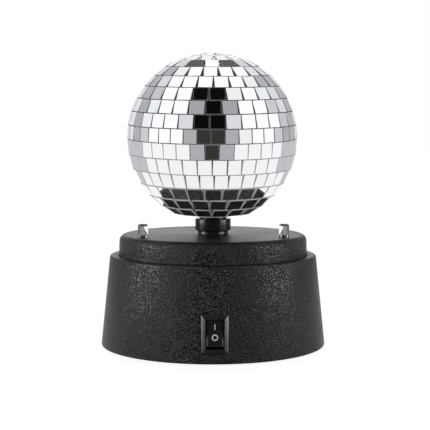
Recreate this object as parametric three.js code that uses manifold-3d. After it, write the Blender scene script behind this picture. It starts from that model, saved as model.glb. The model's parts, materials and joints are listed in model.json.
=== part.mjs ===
// A 100 mm mirror ball that a small battery motor turns on a tapered black base.
// Units are millimetres and +Z is up. The base stands on its feet at z = 0, the ball turns about the
// Z axis, and the switch is on the -Y side.
import * as THREE from "three";
import { mergeVertices } from "three/addons/utils/BufferGeometryUtils.js";
import Module from "manifold-3d";

const wasm = await Module();
wasm.setup();

// Clearances
const GAP = 0.3; // between fixed pieces that touch
const RUNNING = 0.15; // radial, round a turning shaft
const DEGREE = Math.PI / 180;

// Flat sides that stand for a full round
const BODY_SIDES = 40;
const BALL_SIDES = 24;
const ROD_SIDES = 20;
const HOLE_SIDES = 12;
const CAN_SIDES = 24;

// Base shell, measured from its bottom edge
const FOOT_PROUD = 1.0;
const BASE_TOP_RADIUS = 61.2;
const BASE_FLARE = 5.2;
const BASE_BOTTOM_RADIUS = BASE_TOP_RADIUS + BASE_FLARE;
const LEDGE_HEIGHT = 53.3;
const BASE_WALL = 2.4;
const BASE_TOP_ROUND = 1.4;
const BASE_FOOT_CHAMFER = 0.8;
const GROOVE_WIDTH = 0.8;
const GROOVE_DEPTH = 1.8;
const SHELF_THICKNESS = 2.2;
const SHELF_WIDTH = 10.3;

// Tier
const LEDGE_WIDTH = 5.4;
const TIER_HEIGHT = 12.1;
const TIER_DRAFT = 2 * DEGREE;
const TIER_FILLET = 3.8;
const TIER_WALL = 2.2;
const NECK_RING_RADIUS = 9.0;
const NECK_RING_HEIGHT = 1.9;
const TIER_RADIUS = BASE_TOP_RADIUS - LEDGE_WIDTH;
const SHELF_INNER_RADIUS = TIER_RADIUS - SHELF_WIDTH;
const TIER_TOP = LEDGE_HEIGHT + TIER_HEIGHT;
const TIER_UNDERSIDE = TIER_TOP - TIER_WALL;
const SHELF_TOP = LEDGE_HEIGHT - GROOVE_DEPTH;

// Ball
const BALL_RADIUS = 50;
const BALL_CLEARANCE = 6.8; // from the tier's top to the lowest point of the mirrors' round
const BALL_CENTRE_HEIGHT = TIER_TOP + BALL_CLEARANCE + BALL_RADIUS;
const MIRROR_THICKNESS = 1.6;
const MIRROR_SAG = 0.6; // how far the middle of a flat tile dips under the ball's round
const COURSE_GAP = 0.7;
const COURSE_LEAN = 3.5 * DEGREE; // the courses lean towards the switch side
const UPPER_COURSE_PITCH = 9.5 * DEGREE;
const LOWER_COURSE_PITCH = 10.25 * DEGREE;
const BALL_WALL = 1.8;
const BALL_SHELL_RADIUS = BALL_RADIUS - MIRROR_THICKNESS - MIRROR_SAG - GAP;
// Tiles in each course from the equator outwards, and the share of a tile by which a joint is
// turned away from the front.
const UPPER_COURSES = [
  { tiles: 40, turn: 0 },
  { tiles: 34, turn: 0.1 },
  { tiles: 31, turn: 0.5 },
  { tiles: 28, turn: 0.1 },
  { tiles: 26, turn: 0 },
  { tiles: 22, turn: 0.5 },
  { tiles: 16, turn: 0.5 },
  { tiles: 12, turn: 0 },
  { tiles: 6, turn: 0 },
];
const LOWER_COURSES = [
  { tiles: 38, turn: 0.5 },
  { tiles: 36, turn: 0 },
  { tiles: 35, turn: 0.9 },
  { tiles: 26, turn: 0.5 },
  { tiles: 22, turn: 0.1 },
  { tiles: 18, turn: 0 },
];

// Neck and drive shaft
const COLLAR_RADIUS = 10.55;
const COLLAR_SPIGOT_RADIUS = 8;
const COLLAR_SPIGOT_LENGTH = 4.8;
const SHAFT_RADIUS = 2;
const BUSH_RADIUS = 4;
const BUSH_HOUSING_RADIUS = 7;
const BUSH_HOUSING_DROP = 2; // below the tier's underside
const COLLAR_BOTTOM = TIER_TOP + NECK_RING_HEIGHT + GAP;
const COLLAR_SINK = 0.1; // how far the shoulder's plane is above the ball shell's lowest point
const COLLAR_SHOULDER = BALL_CENTRE_HEIGHT - BALL_SHELL_RADIUS + COLLAR_SINK;

// Gear train: three reductions of five to one
const MODULE = 0.6;
const PINION_TEETH = 10;
const GEAR_TEETH = 50;
const GEAR_WIDTH = 3.4;
const STAGE_PITCH = 5;
const AXLE_RADIUS = 1;
const HUB_RADIUS = 2;
const GEAR_BACKLASH = 0.12;
const PRESSURE_ANGLE = 20 * DEGREE;
const DEDENDUM = 1.25; // in modules, as the two addendums are
const GEAR_ADDENDUM = 0.6;
const PINION_ADDENDUM = 1.1;
const CENTRE_SLACK = 0.1;
const CENTRE_DISTANCE = (MODULE * (PINION_TEETH + GEAR_TEETH)) / 2 + CENTRE_SLACK;
const PLATE_THICKNESS = 2;
const GEARBOX_DROP = 5.7; // from the tier's underside to the upper plate
const GEARBOX_HEIGHT = 18.7;
const LOWEST_GEAR_RISE = 3.5;
const UPPER_PLATE_HEIGHT = TIER_UNDERSIDE - GEARBOX_DROP;
const LOWER_PLATE_HEIGHT = UPPER_PLATE_HEIGHT - GEARBOX_HEIGHT;
const LOWEST_GEAR_HEIGHT = LOWER_PLATE_HEIGHT + LOWEST_GEAR_RISE;
const POST_RADIUS = 3;
const POST_CLEARANCE = 1.5; // between a gear's tips and a post
const PLATE_CORNER = 4;
const OUTPUT_HUB_RADIUS = 5;

// Motor
const MOTOR_RADIUS = 10;
const MOTOR_LENGTH = 25;
const MOTOR_WALL = 0.8;
const MOTOR_BOSS_RADIUS = 3;
const ARMATURE_RADIUS = 6.5;
const END_CAP_THICKNESS = 2.5;
const BRUSH_ROOM = 4; // between the end cap and the armature
const ARMATURE_TOP_ROOM = 3;
const ROTOR_END = 1; // how far the shaft stands out of the end cap
const PINION_TOP_GAP = 1; // between the motor's pinion and the second gear

// Underside and batteries
const PLATE_RECESS = 0.4;
const BOTTOM_THICKNESS = 2.4;
const PLATE_BOSS_RISE = 3;
const PLATE_BOSS_WALL = 0.6; // how much wider the plate's bosses are than the shell's columns
const CELL_RADIUS = 7.1;
const CELL_LENGTH = 49.2;
const CELL_NUB_LENGTH = 1.3;
const CELL_NUB_RADIUS = 2.7;
const CELL_SPACING = 0.7;
const CELL_PITCH = 2 * CELL_RADIUS + CELL_SPACING;
const CELL_COUNT = 3;
const CONTACT_THICKNESS = 0.5;
const CONTACT_WIDTH = 11;
const CONTACT_MARGIN = 1; // below and above each contact
const SPRING_ROOM = 5.3;
const SPRING_RADIUS = 4;
const SPRING_TIP_RADIUS = 2.4;
const SPRING_WIRE_RADIUS = 0.45;
const SPRING_TURNS = 2.5;
const SPRING_STEPS = 22;
const TRAY_WALL = 1.6;
const TRAY_HEAD_ROOM = 0.8;
const MOTOR_TO_TRAY = 2.1;
const DOOR_GAP = 0.35;
const DOOR_PEG_RADIUS = 0.7;
const DOOR_PEG_LENGTH = 1.6;
const FINGER_GROOVE_LENGTH = 16;
const FINGER_GROOVE_WIDTH = 2;
const FINGER_GROOVE_INSET = 2;

// Feet and screws
const FOOT_COUNT = 3;
const FOOT_RADIUS = 5;
const FOOT_INSET = 10.4;
const FOOT_CIRCLE = BASE_BOTTOM_RADIUS - FOOT_INSET;
const FOOT_SOCKET_DEPTH = 0.8;
const SCREW_RADIUS = 1.4;
const SCREW_HEAD_RADIUS = 2.6;
const SCREW_HEAD_HEIGHT = 1.8;
const SCREW_HEAD_CHAMFER = 0.5;
const SCREW_POINT = 1;
const SCREW_BOSS_RADIUS = 3.6;
const CASE_SCREW_COUNT = 4;
const CASE_SCREW_INSET = 6.3;
const CASE_SCREW_CIRCLE = TIER_RADIUS - CASE_SCREW_INSET;
const CASE_SCREW_BITE = 7;

// Lamps
const LAMP_COUNT = 3;
const LAMP_INSET = 9;
const LAMP_CIRCLE = TIER_RADIUS - LAMP_INSET;
const LAMP_RADIUS = 3;
const LAMP_FLANGE_RADIUS = 3.5;
const LAMP_FLANGE_HEIGHT = 0.7;
const LAMP_CHAMFER = 0.5;
const LAMP_RISE = 7.5;
const BOARD_DROP = 1.6; // from the tier's underside to the board
const BOARD_THICKNESS = 1.6;
const BOARD_HALF_WIDTH = 4.65;
const BOARD_INNER_RADIUS = LAMP_CIRCLE - BOARD_HALF_WIDTH;
const BOARD_OUTER_RADIUS = LAMP_CIRCLE + BOARD_HALF_WIDTH;

// Switch
const SWITCH_HEIGHT = 16.3;
const BEZEL_WIDTH = 15;
const BEZEL_LENGTH = 21;
const BEZEL_EDGE = 0.7;
const BEZEL_BEVEL_WIDTH = 1.6;
const BEZEL_BEVEL_RISE = 1.1;
const SWITCH_SEAT_DEPTH = 0.45;
const SWITCH_BODY_WIDTH = 12.6;
const SWITCH_BODY_LENGTH = 18.6;
const SWITCH_BODY_DEPTH = 12;
const SWITCH_PIT_WIDTH = 11;
const SWITCH_PIT_LENGTH = 16.4;
const SWITCH_PIT_DEPTH = 7.4;
const ROCKER_WIDTH = 9.4;
const ROCKER_PIVOT_DEPTH = 2.4;
const ROCKER_HALF_LENGTH = 7.2;
const ROCKER_FRONT = 3.6;
const ROCKER_VEE = 1;
const ROCKER_SHOULDER = 0.4; // how far the rocker's ends stand out beside its pivot
const ROCKER_BACK_HALF_LENGTH = 3;
const ROCKER_BACK = 2.4;
const ROCKER_THROW = 18 * DEGREE;
const TERMINAL_LENGTH = 6;
const TERMINAL_WIDTH = 4.8;
const TERMINAL_THICKNESS = 0.8;
const TERMINAL_OFFSET = 3.4;
const JOIN = 0.5; // how far pieces of one moulding run into each other

const WIRE_RADIUS = 0.6;

const COLOURS = {
  shell: { color: 0x1b1b1c, roughness: 0.6, metalness: 0 },
  gloss: { color: 0x0d0d0e, roughness: 0.3, metalness: 0 },
  ballShell: { color: 0x2a2a2c, roughness: 0.5, metalness: 0 },
  mirror: { color: 0xe8eaee, roughness: 0.03, metalness: 1 },
  steel: { color: 0xb8babd, roughness: 0.3, metalness: 1 },
  brass: { color: 0xc9a550, roughness: 0.35, metalness: 1 },
  gear: { color: 0xe9e4d4, roughness: 0.5, metalness: 0 },
  frame: { color: 0x8e9196, roughness: 0.5, metalness: 0 },
  rubber: { color: 0x161616, roughness: 0.9, metalness: 0 },
  lens: { color: 0xe6eef2, roughness: 0.05, metalness: 0 },
  board: { color: 0x1f5c3a, roughness: 0.5, metalness: 0 },
  cell: { color: 0x3d4a63, roughness: 0.4, metalness: 0.3 },
  redWire: { color: 0xa81e1e, roughness: 0.5, metalness: 0 },
  blackWire: { color: 0x151515, roughness: 0.5, metalness: 0 },
};

// ---------------------------------------------------------------- helpers

function material(name) {
  return new THREE.MeshStandardMaterial(COLOURS[name]);
}

// A closed three.js geometry as a solid that can be joined and cut.
function solid(geometry) {
  const bare = geometry.index ? geometry.toNonIndexed() : geometry.clone();
  bare.deleteAttribute("normal");
  bare.deleteAttribute("uv");
  const merged = mergeVertices(bare, 1e-4);
  return new wasm.Manifold(
    new wasm.Mesh({
      numProp: 3,
      vertProperties: merged.attributes.position.array,
      triVerts: new Uint32Array(merged.index.array),
    }),
  );
}

function geometryOf(shape) {
  const mesh = shape.getMesh();
  const geometry = new THREE.BufferGeometry();
  geometry.setAttribute("position", new THREE.BufferAttribute(mesh.vertProperties, 3));
  geometry.setIndex(new THREE.BufferAttribute(mesh.triVerts, 1));
  return geometry;
}

function joined(shapes) {
  return shapes.reduce((sum, shape) => sum.add(shape));
}

function cut(shape, tools) {
  return tools.reduce((rest, tool) => rest.subtract(tool), shape);
}

// shape is a solid or a geometry; at and turn place the mesh in its parent group.
function piece(name, shape, colour, at = [0, 0, 0], turn = [0, 0, 0]) {
  const geometry = shape.isBufferGeometry ? shape : geometryOf(shape);
  const mesh = new THREE.Mesh(geometry, material(colour));
  mesh.name = name;
  mesh.position.set(...at);
  mesh.rotation.set(...turn);
  return mesh;
}

// A profile of [radius, height] points, turned about Z. The points run up the outside.
function turned(profile, segments) {
  const points = profile.map(([radius, height]) => new THREE.Vector2(radius, height));
  return new THREE.LatheGeometry(points, segments).rotateX(Math.PI / 2);
}

function turnedRing(profile, segments) {
  return turned([...profile, profile[0]], segments);
}

function cylinder(radius, bottom, top, segments = ROD_SIDES) {
  return turned([[0, bottom], [radius, bottom], [radius, top], [0, top]], segments);
}

function cylinderAt(x, y, radius, bottom, top, segments = HOLE_SIDES) {
  return solid(cylinder(radius, bottom, top, segments).translate(x, y, 0));
}

function tube(inner, outer, bottom, top, segments = ROD_SIDES) {
  return turnedRing([[inner, bottom], [outer, bottom], [outer, top], [inner, top]], segments);
}

function box(low, high) {
  const size = high.map((value, axis) => value - low[axis]);
  const middle = high.map((value, axis) => (value + low[axis]) / 2);
  return solid(new THREE.BoxGeometry(...size).translate(...middle));
}

// Points of an arc in a turned profile, from one angle to the other, both ends included.
function arc(radius, height, size, from, to, steps) {
  return Array.from({ length: steps + 1 }, (_, step) => {
    const angle = from + ((to - from) * step) / steps;
    return [radius + size * Math.cos(angle), height + size * Math.sin(angle)];
  });
}

function onCircle(radius, angle) {
  return [radius * Math.cos(angle), radius * Math.sin(angle)];
}

function ringPlaces(radius, count, firstAngle) {
  return Array.from({ length: count }, (_, index) =>
    onCircle(radius, firstAngle + (index * 2 * Math.PI) / count),
  );
}

// ---------------------------------------------------------------- shared places

const DRAFT_SLOPE = (BASE_BOTTOM_RADIUS - BASE_TOP_RADIUS) / LEDGE_HEIGHT;
const WALL_TILT = Math.atan(DRAFT_SLOPE);
const LAMP_PLACES = ringPlaces(LAMP_CIRCLE, LAMP_COUNT, Math.PI / 2);
const CASE_SCREW_PLACES = ringPlaces(CASE_SCREW_CIRCLE, CASE_SCREW_COUNT, Math.PI / 4);
const FOOT_PLACES = ringPlaces(FOOT_CIRCLE, FOOT_COUNT, Math.PI / 2);
const SCREW_HOLE_RADIUS = SCREW_RADIUS + GAP;
const PLATE_TOP = PLATE_RECESS + BOTTOM_THICKNESS;
const COUNTERBORE_TOP = PLATE_RECESS + SCREW_HEAD_HEIGHT + 2 * GAP;
const PLATE_BOSS_TOP = COUNTERBORE_TOP + PLATE_BOSS_RISE;
const BOARD_TOP = TIER_UNDERSIDE - BOARD_DROP;

// The output gear is on the Z axis. The two idlers stand on the other corners of a triangle of
// equal sides, and the motor stands behind the first idler.
const FIRST_IDLER = [0, CENTRE_DISTANCE];
const SECOND_IDLER = onCircle(CENTRE_DISTANCE, 30 * DEGREE);
const MOTOR = [0, 2 * CENTRE_DISTANCE];
const GEAR_LEVELS = [0, 1, 2].map((stage) => LOWEST_GEAR_HEIGHT + stage * STAGE_PITCH);
const GEAR_TIP = (MODULE * GEAR_TEETH) / 2 + MODULE;
const POST_REACH = GEAR_TIP + POST_RADIUS + POST_CLEARANCE;

// The four posts, each by the gear it stands beside, its direction from that gear's axis and how
// much farther out it is than the gear needs.
const GEARBOX_POSTS = [
  { beside: [0, 0], beyond: 2.7, towards: 222 },
  { beside: SECOND_IDLER, beyond: 5, towards: 300 },
  { beside: SECOND_IDLER, beyond: 1.2, towards: 70 },
  { beside: FIRST_IDLER, beyond: 1.2, towards: 138 },
].map(({ beside, beyond, towards }) => {
  const [across, along] = onCircle(POST_REACH + beyond, towards * DEGREE);
  return [beside[0] + across, beside[1] + along];
});
const GEARBOX_SCREW_POSTS = [GEARBOX_POSTS[0], GEARBOX_POSTS[2]];
const GEARBOX_PEG_POSTS = [GEARBOX_POSTS[1], GEARBOX_POSTS[3]];

function baseRadius(height) {
  return BASE_BOTTOM_RADIUS - DRAFT_SLOPE * height;
}

// ---------------------------------------------------------------- base shell

function baseShellBody() {
  const grooveRadius = TIER_RADIUS + GROOVE_WIDTH;
  const shelfBottom = SHELF_TOP - SHELF_THICKNESS;
  const profile = [
    [BASE_BOTTOM_RADIUS - BASE_WALL, 0],
    [BASE_BOTTOM_RADIUS - BASE_FOOT_CHAMFER, 0],
    [BASE_BOTTOM_RADIUS, BASE_FOOT_CHAMFER],
    ...arc(
      BASE_TOP_RADIUS - BASE_TOP_ROUND,
      LEDGE_HEIGHT - BASE_TOP_ROUND,
      BASE_TOP_ROUND,
      WALL_TILT,
      Math.PI / 2,
      2,
    ),
    [grooveRadius, LEDGE_HEIGHT],
    [grooveRadius, SHELF_TOP],
    [SHELF_INNER_RADIUS, SHELF_TOP],
    [SHELF_INNER_RADIUS, shelfBottom],
    [baseRadius(shelfBottom) - BASE_WALL, shelfBottom],
  ];
  return solid(turnedRing(profile, BODY_SIDES));
}

// Columns that the case screws pass through, from just above the bottom plate's own bosses.
function caseScrewColumns() {
  return CASE_SCREW_PLACES.map(([x, y]) =>
    cylinderAt(x, y, SCREW_BOSS_RADIUS, PLATE_BOSS_TOP + GAP, SHELF_TOP - SHELF_THICKNESS / 2),
  );
}

function caseScrewHoles(bottom, top) {
  return CASE_SCREW_PLACES.map(([x, y]) => cylinderAt(x, y, SCREW_HOLE_RADIUS, bottom, top, HOLE_SIDES));
}

// Moves a solid made in the switch's own frame (x across, -y out of the wall, z up the wall).
function switchFrame(geometry) {
  return geometry.rotateX(-WALL_TILT).translate(0, -baseRadius(SWITCH_HEIGHT), SWITCH_HEIGHT);
}

function switchBlock(width, length, front, back) {
  const block = new THREE.BoxGeometry(width, back - front, length);
  return block.translate(0, (front + back) / 2, 0);
}

function baseShell() {
  const outside = -4 * BEZEL_EDGE;
  const seat = switchBlock(
    BEZEL_WIDTH + 2 * GAP,
    BEZEL_LENGTH + 2 * GAP,
    outside,
    SWITCH_SEAT_DEPTH,
  );
  const opening = switchBlock(
    SWITCH_BODY_WIDTH + 2 * GAP,
    SWITCH_BODY_LENGTH + 2 * GAP,
    outside,
    2 * BASE_WALL,
  );
  const holes = [solid(switchFrame(seat)), solid(switchFrame(opening))];
  const body = joined([baseShellBody(), ...caseScrewColumns()]);
  return cut(body, [...holes, ...caseScrewHoles(0, LEDGE_HEIGHT)]);
}

// ---------------------------------------------------------------- top cover

function coverBody() {
  const wallBottom = SHELF_TOP + GAP;
  const filletHeight = TIER_TOP - TIER_FILLET;
  const filletRadius = TIER_RADIUS - (filletHeight - LEDGE_HEIGHT) * Math.tan(TIER_DRAFT);
  const profile = [
    [TIER_RADIUS - TIER_WALL, wallBottom],
    [TIER_RADIUS, wallBottom],
    [TIER_RADIUS, LEDGE_HEIGHT],
    ...arc(filletRadius - TIER_FILLET, filletHeight, TIER_FILLET, 0, Math.PI / 2, 3),
    [NECK_RING_RADIUS, TIER_TOP],
    [NECK_RING_RADIUS, TIER_TOP + NECK_RING_HEIGHT],
    [BUSH_RADIUS + GAP, TIER_TOP + NECK_RING_HEIGHT],
    [BUSH_RADIUS + GAP, TIER_UNDERSIDE - BUSH_HOUSING_DROP],
    [BUSH_HOUSING_RADIUS, TIER_UNDERSIDE - BUSH_HOUSING_DROP],
    [BUSH_HOUSING_RADIUS, TIER_UNDERSIDE],
    [filletRadius - TIER_FILLET, TIER_UNDERSIDE],
    [filletRadius - TIER_WALL, filletHeight],
  ];
  return solid(turnedRing(profile, BODY_SIDES));
}

function topCover() {
  const inside = TIER_UNDERSIDE + TIER_WALL / 2;
  const plateTop = UPPER_PLATE_HEIGHT + PLATE_THICKNESS;
  const caseBosses = CASE_SCREW_PLACES.map(([x, y]) =>
    cylinderAt(x, y, SCREW_BOSS_RADIUS, SHELF_TOP + GAP, inside),
  );
  const gearboxBosses = GEARBOX_SCREW_POSTS.map(([x, y]) =>
    cylinderAt(x, y, POST_RADIUS, plateTop + GAP, inside),
  );
  const lampHoles = LAMP_PLACES.map(([x, y]) =>
    cylinderAt(x, y, LAMP_RADIUS + GAP, TIER_UNDERSIDE - 1, TIER_TOP + 1, ROD_SIDES),
  );
  const gearboxHoles = GEARBOX_SCREW_POSTS.map(([x, y]) =>
    cylinderAt(x, y, SCREW_HOLE_RADIUS, plateTop, TIER_UNDERSIDE, HOLE_SIDES),
  );
  const caseHoles = caseScrewHoles(SHELF_TOP, SHELF_TOP + GAP + CASE_SCREW_BITE + GAP);
  const body = joined([coverBody(), ...caseBosses, ...gearboxBosses]);
  return cut(body, [...lampHoles, ...gearboxHoles, ...caseHoles]);
}

// ---------------------------------------------------------------- ball

function upperBallShell() {
  const inner = BALL_SHELL_RADIUS - BALL_WALL;
  const seam = Math.asin(GAP / 2 / BALL_SHELL_RADIUS);
  return turned(
    [
      ...arc(0, 0, inner, Math.PI / 2, seam, 6),
      ...arc(0, 0, BALL_SHELL_RADIUS, seam, Math.PI / 2, 6),
    ],
    BALL_SIDES,
  );
}

// The lower half has the neck's hole at its pole and a lip that stands up inside the upper half.
function lowerBallShell() {
  const inner = BALL_SHELL_RADIUS - BALL_WALL;
  const seam = Math.asin(GAP / 2 / BALL_SHELL_RADIUS);
  const hole = COLLAR_SPIGOT_RADIUS + GAP;
  const lipOutside = inner - 2 * GAP;
  const lipInside = lipOutside - BALL_WALL;
  const profile = [
    ...arc(0, 0, BALL_SHELL_RADIUS, -Math.acos(hole / BALL_SHELL_RADIUS), -seam, 6),
    [lipOutside, -GAP / 2],
    [lipOutside, BALL_WALL],
    [lipInside, BALL_WALL],
    [lipInside, -BALL_WALL],
    ...arc(0, 0, inner, -6 * DEGREE, -Math.acos(hole / inner), 5),
  ];
  return turnedRing(profile, BALL_SIDES);
}

// A ring of flat mirrors between two latitudes; side is 1 above the equator and -1 below it.
function mirrorCourse(tiles, nearAngle, farAngle, side) {
  const inner = BALL_RADIUS - MIRROR_THICKNESS;
  const corners = [
    [nearAngle, BALL_RADIUS],
    [farAngle, BALL_RADIUS],
    [farAngle, inner],
    [nearAngle, inner],
  ].map(([angle, radius]) => [radius * Math.cos(angle), side * radius * Math.sin(angle)]);
  return turnedRing(side > 0 ? corners : corners.reverse(), tiles);
}

function mirrorCourses(prefix, courses, pitch, side) {
  const halfGap = COURSE_GAP / 2 / BALL_RADIUS;
  return courses.map(({ tiles, turn }, index) => {
    const near = index * pitch + halfGap;
    const far = (index + 1) * pitch - halfGap;
    const phase = (turn * 2 * Math.PI) / tiles;
    const shape = mirrorCourse(tiles, near, far, side);
    return piece(`${prefix}_${index + 1}`, shape, "mirror", [0, 0, 0], [0, 0, phase]);
  });
}

function mirrorCap() {
  const angle = UPPER_COURSES.length * UPPER_COURSE_PITCH + COURSE_GAP / 2 / BALL_RADIUS;
  const top = BALL_RADIUS * Math.sin(angle);
  return cylinder(BALL_RADIUS * Math.cos(angle) - GAP, top - MIRROR_THICKNESS, top, HOLE_SIDES);
}

function mirrors() {
  const group = new THREE.Group();
  group.rotation.x = COURSE_LEAN;
  group.add(
    ...mirrorCourses("mirror_row_upper", UPPER_COURSES, UPPER_COURSE_PITCH, 1),
    ...mirrorCourses("mirror_row_lower", LOWER_COURSES, LOWER_COURSE_PITCH, -1),
    piece("mirror_cap", mirrorCap(), "mirror"),
  );
  return group;
}

function ballCollar() {
  const spigotTop = COLLAR_SHOULDER + COLLAR_SPIGOT_LENGTH;
  const bore = SHAFT_RADIUS + GAP;
  return turned(
    [
      [0, spigotTop - BALL_WALL],
      [bore, spigotTop - BALL_WALL],
      [bore, COLLAR_BOTTOM],
      [COLLAR_RADIUS - GAP, COLLAR_BOTTOM],
      [COLLAR_RADIUS, COLLAR_BOTTOM + GAP],
      [COLLAR_RADIUS, COLLAR_SHOULDER - GAP],
      [COLLAR_SPIGOT_RADIUS, COLLAR_SHOULDER - GAP],
      [COLLAR_SPIGOT_RADIUS, spigotTop],
      [0, spigotTop],
    ],
    BALL_SIDES,
  );
}

function ballAssembly() {
  const ball = new THREE.Group();
  ball.position.z = BALL_CENTRE_HEIGHT;
  ball.add(
    piece("ball_shell_upper", upperBallShell(), "ballShell"),
    piece("ball_shell_lower", lowerBallShell(), "ballShell"),
    mirrors(),
  );
  return ball;
}

// ---------------------------------------------------------------- gear train

function involute(angle) {
  return Math.tan(angle) - angle;
}

// Half the angle that a tooth covers at a radius, for 20 degree involute teeth.
function halfToothAngle(teeth, radius) {
  const pitchRadius = (MODULE * teeth) / 2;
  const baseCircle = pitchRadius * Math.cos(PRESSURE_ANGLE);
  const there = Math.acos(Math.min(1, baseCircle / radius));
  const atPitch = Math.PI / (2 * teeth) - GEAR_BACKLASH / (2 * pitchRadius);
  return atPitch + involute(PRESSURE_ANGLE) - involute(there);
}

// The outline of a gear whose first tooth is centred on the angle given.
function gearOutline(teeth, addendum, firstTooth) {
  const pitchRadius = (MODULE * teeth) / 2;
  const root = pitchRadius - DEDENDUM * MODULE;
  const tip = pitchRadius + addendum;
  const rootHalf = halfToothAngle(teeth, root);
  const tipHalf = halfToothAngle(teeth, tip);
  const outline = new THREE.Shape();
  for (let tooth = 0; tooth < teeth; tooth += 1) {
    const middle = firstTooth + (tooth * 2 * Math.PI) / teeth;
    const corners = [
      onCircle(root, middle - rootHalf),
      onCircle(tip, middle - tipHalf),
      onCircle(tip, middle + tipHalf),
      onCircle(root, middle + rootHalf),
    ];
    corners.forEach(([x, y], corner) => {
      if (tooth + corner === 0) outline.moveTo(x, y);
      else outline.lineTo(x, y);
    });
  }
  outline.closePath();
  return outline;
}

function withBore(outline, radius) {
  const hole = new THREE.Path();
  hole.absarc(0, 0, radius, 0, 2 * Math.PI, true);
  outline.holes.push(hole);
  return outline;
}

function extruded(outline, bottom, top, curveSegments = 6) {
  const options = { depth: top - bottom, bevelEnabled: false, curveSegments };
  return new THREE.ExtrudeGeometry(outline, options).translate(0, 0, bottom);
}

// A large gear drives with a shortened tooth, and a pinion with a long one, so that the pinion's
// few teeth aren't undercut.
function largeGear(firstTooth, bore, bottom) {
  const outline = withBore(gearOutline(GEAR_TEETH, GEAR_ADDENDUM * MODULE, firstTooth), bore);
  return extruded(outline, bottom, bottom + GEAR_WIDTH);
}

function pinion(firstTooth, bore, bottom, top) {
  const outline = withBore(gearOutline(PINION_TEETH, PINION_ADDENDUM * MODULE, firstTooth), bore);
  return extruded(outline, bottom, top);
}

function direction(from, to) {
  return Math.atan2(to[1] - from[1], to[0] - from[0]);
}

// A gear shows a gap to its pinion, and the pinion a tooth to its gear.
function gapTowards(from, to) {
  return direction(from, to) + Math.PI / GEAR_TEETH;
}

function compoundGear(bigPhase, smallPhase, level) {
  const bore = AXLE_RADIUS + RUNNING;
  const bottom = GEAR_LEVELS[level];
  const middle = bottom + GEAR_WIDTH;
  const top = middle + STAGE_PITCH + GAP;
  const hubBottom = LOWER_PLATE_HEIGHT + PLATE_THICKNESS + GAP;
  return joined([
    solid(largeGear(bigPhase, bore, bottom)),
    solid(pinion(smallPhase, bore, middle, top)),
    solid(tube(bore, HUB_RADIUS, hubBottom, bottom, HOLE_SIDES)),
    solid(tube(bore, HUB_RADIUS, top, UPPER_PLATE_HEIGHT - GAP, HOLE_SIDES)),
  ]);
}

function idlerGears() {
  const [firstX, firstY] = FIRST_IDLER;
  const [secondX, secondY] = SECOND_IDLER;
  const first = compoundGear(
    gapTowards(FIRST_IDLER, MOTOR),
    direction(FIRST_IDLER, SECOND_IDLER),
    0,
  );
  const second = compoundGear(
    gapTowards(SECOND_IDLER, FIRST_IDLER),
    direction(SECOND_IDLER, [0, 0]),
    1,
  );
  return [
    piece("idler_gear_first", first, "gear", [firstX, firstY, 0]),
    piece("idler_gear_second", second, "gear", [secondX, secondY, 0]),
  ];
}

function outputGear() {
  const bore = SHAFT_RADIUS + GAP;
  const bottom = GEAR_LEVELS[2];
  return joined([
    solid(largeGear(gapTowards([0, 0], SECOND_IDLER), bore, bottom)),
    solid(tube(bore, OUTPUT_HUB_RADIUS, bottom + GEAR_WIDTH, UPPER_PLATE_HEIGHT - GAP, HOLE_SIDES)),
  ]);
}

function idlerAxle() {
  return cylinder(AXLE_RADIUS, LOWER_PLATE_HEIGHT, UPPER_PLATE_HEIGHT + PLATE_THICKNESS, HOLE_SIDES);
}

// ---------------------------------------------------------------- gearbox plates

// A plate round the corners given in turn, with the same round at each.
function plateOutline(corners) {
  const outline = new THREE.Shape();
  corners.forEach((corner, index) => {
    const before = corners[(index + corners.length - 1) % corners.length];
    const after = corners[(index + 1) % corners.length];
    const start = direction(before, corner) - Math.PI / 2;
    const turn = direction(corner, after) - direction(before, corner);
    const sweep = (turn + 4 * Math.PI) % (2 * Math.PI);
    outline.absarc(corner[0], corner[1], PLATE_CORNER, start, start + sweep, false);
  });
  return outline;
}

function axleHoles(bottom) {
  const top = bottom + 2 * PLATE_THICKNESS;
  return [FIRST_IDLER, SECOND_IDLER].map(([x, y]) =>
    cylinderAt(x, y, AXLE_RADIUS + GAP, bottom - 1, top, HOLE_SIDES),
  );
}

function lowerPlate() {
  const bottom = LOWER_PLATE_HEIGHT;
  const top = bottom + PLATE_THICKNESS;
  const [firstPost, secondPost, thirdPost, fourthPost] = GEARBOX_POSTS;
  const motorCorners = [1, -1].map((side) => [(side * MOTOR_RADIUS) / 2, MOTOR[1] + PLATE_CORNER]);
  const corners = [firstPost, secondPost, thirdPost, ...motorCorners, fourthPost];
  const posts = GEARBOX_POSTS.map(([x, y]) =>
    cylinderAt(x, y, POST_RADIUS, top - 1, UPPER_PLATE_HEIGHT - GAP),
  );
  const pegs = GEARBOX_PEG_POSTS.map(([x, y]) =>
    cylinderAt(x, y, POST_RADIUS / 2, top, UPPER_PLATE_HEIGHT + PLATE_THICKNESS - GAP, HOLE_SIDES),
  );
  const screwHoles = GEARBOX_SCREW_POSTS.map(([x, y]) =>
    cylinderAt(x, y, SCREW_HOLE_RADIUS, bottom - 1, UPPER_PLATE_HEIGHT, HOLE_SIDES),
  );
  const motorHole = cylinderAt(MOTOR[0], MOTOR[1], MOTOR_BOSS_RADIUS + GAP, bottom - 1, top + 1);
  const shaftHole = cylinderAt(0, 0, SHAFT_RADIUS + RUNNING, bottom - 1, top + 1, ROD_SIDES);
  const body = joined([solid(extruded(plateOutline(corners), bottom, top, 4)), ...posts, ...pegs]);
  return cut(body, [...screwHoles, ...axleHoles(bottom), motorHole, shaftHole]);
}

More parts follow.
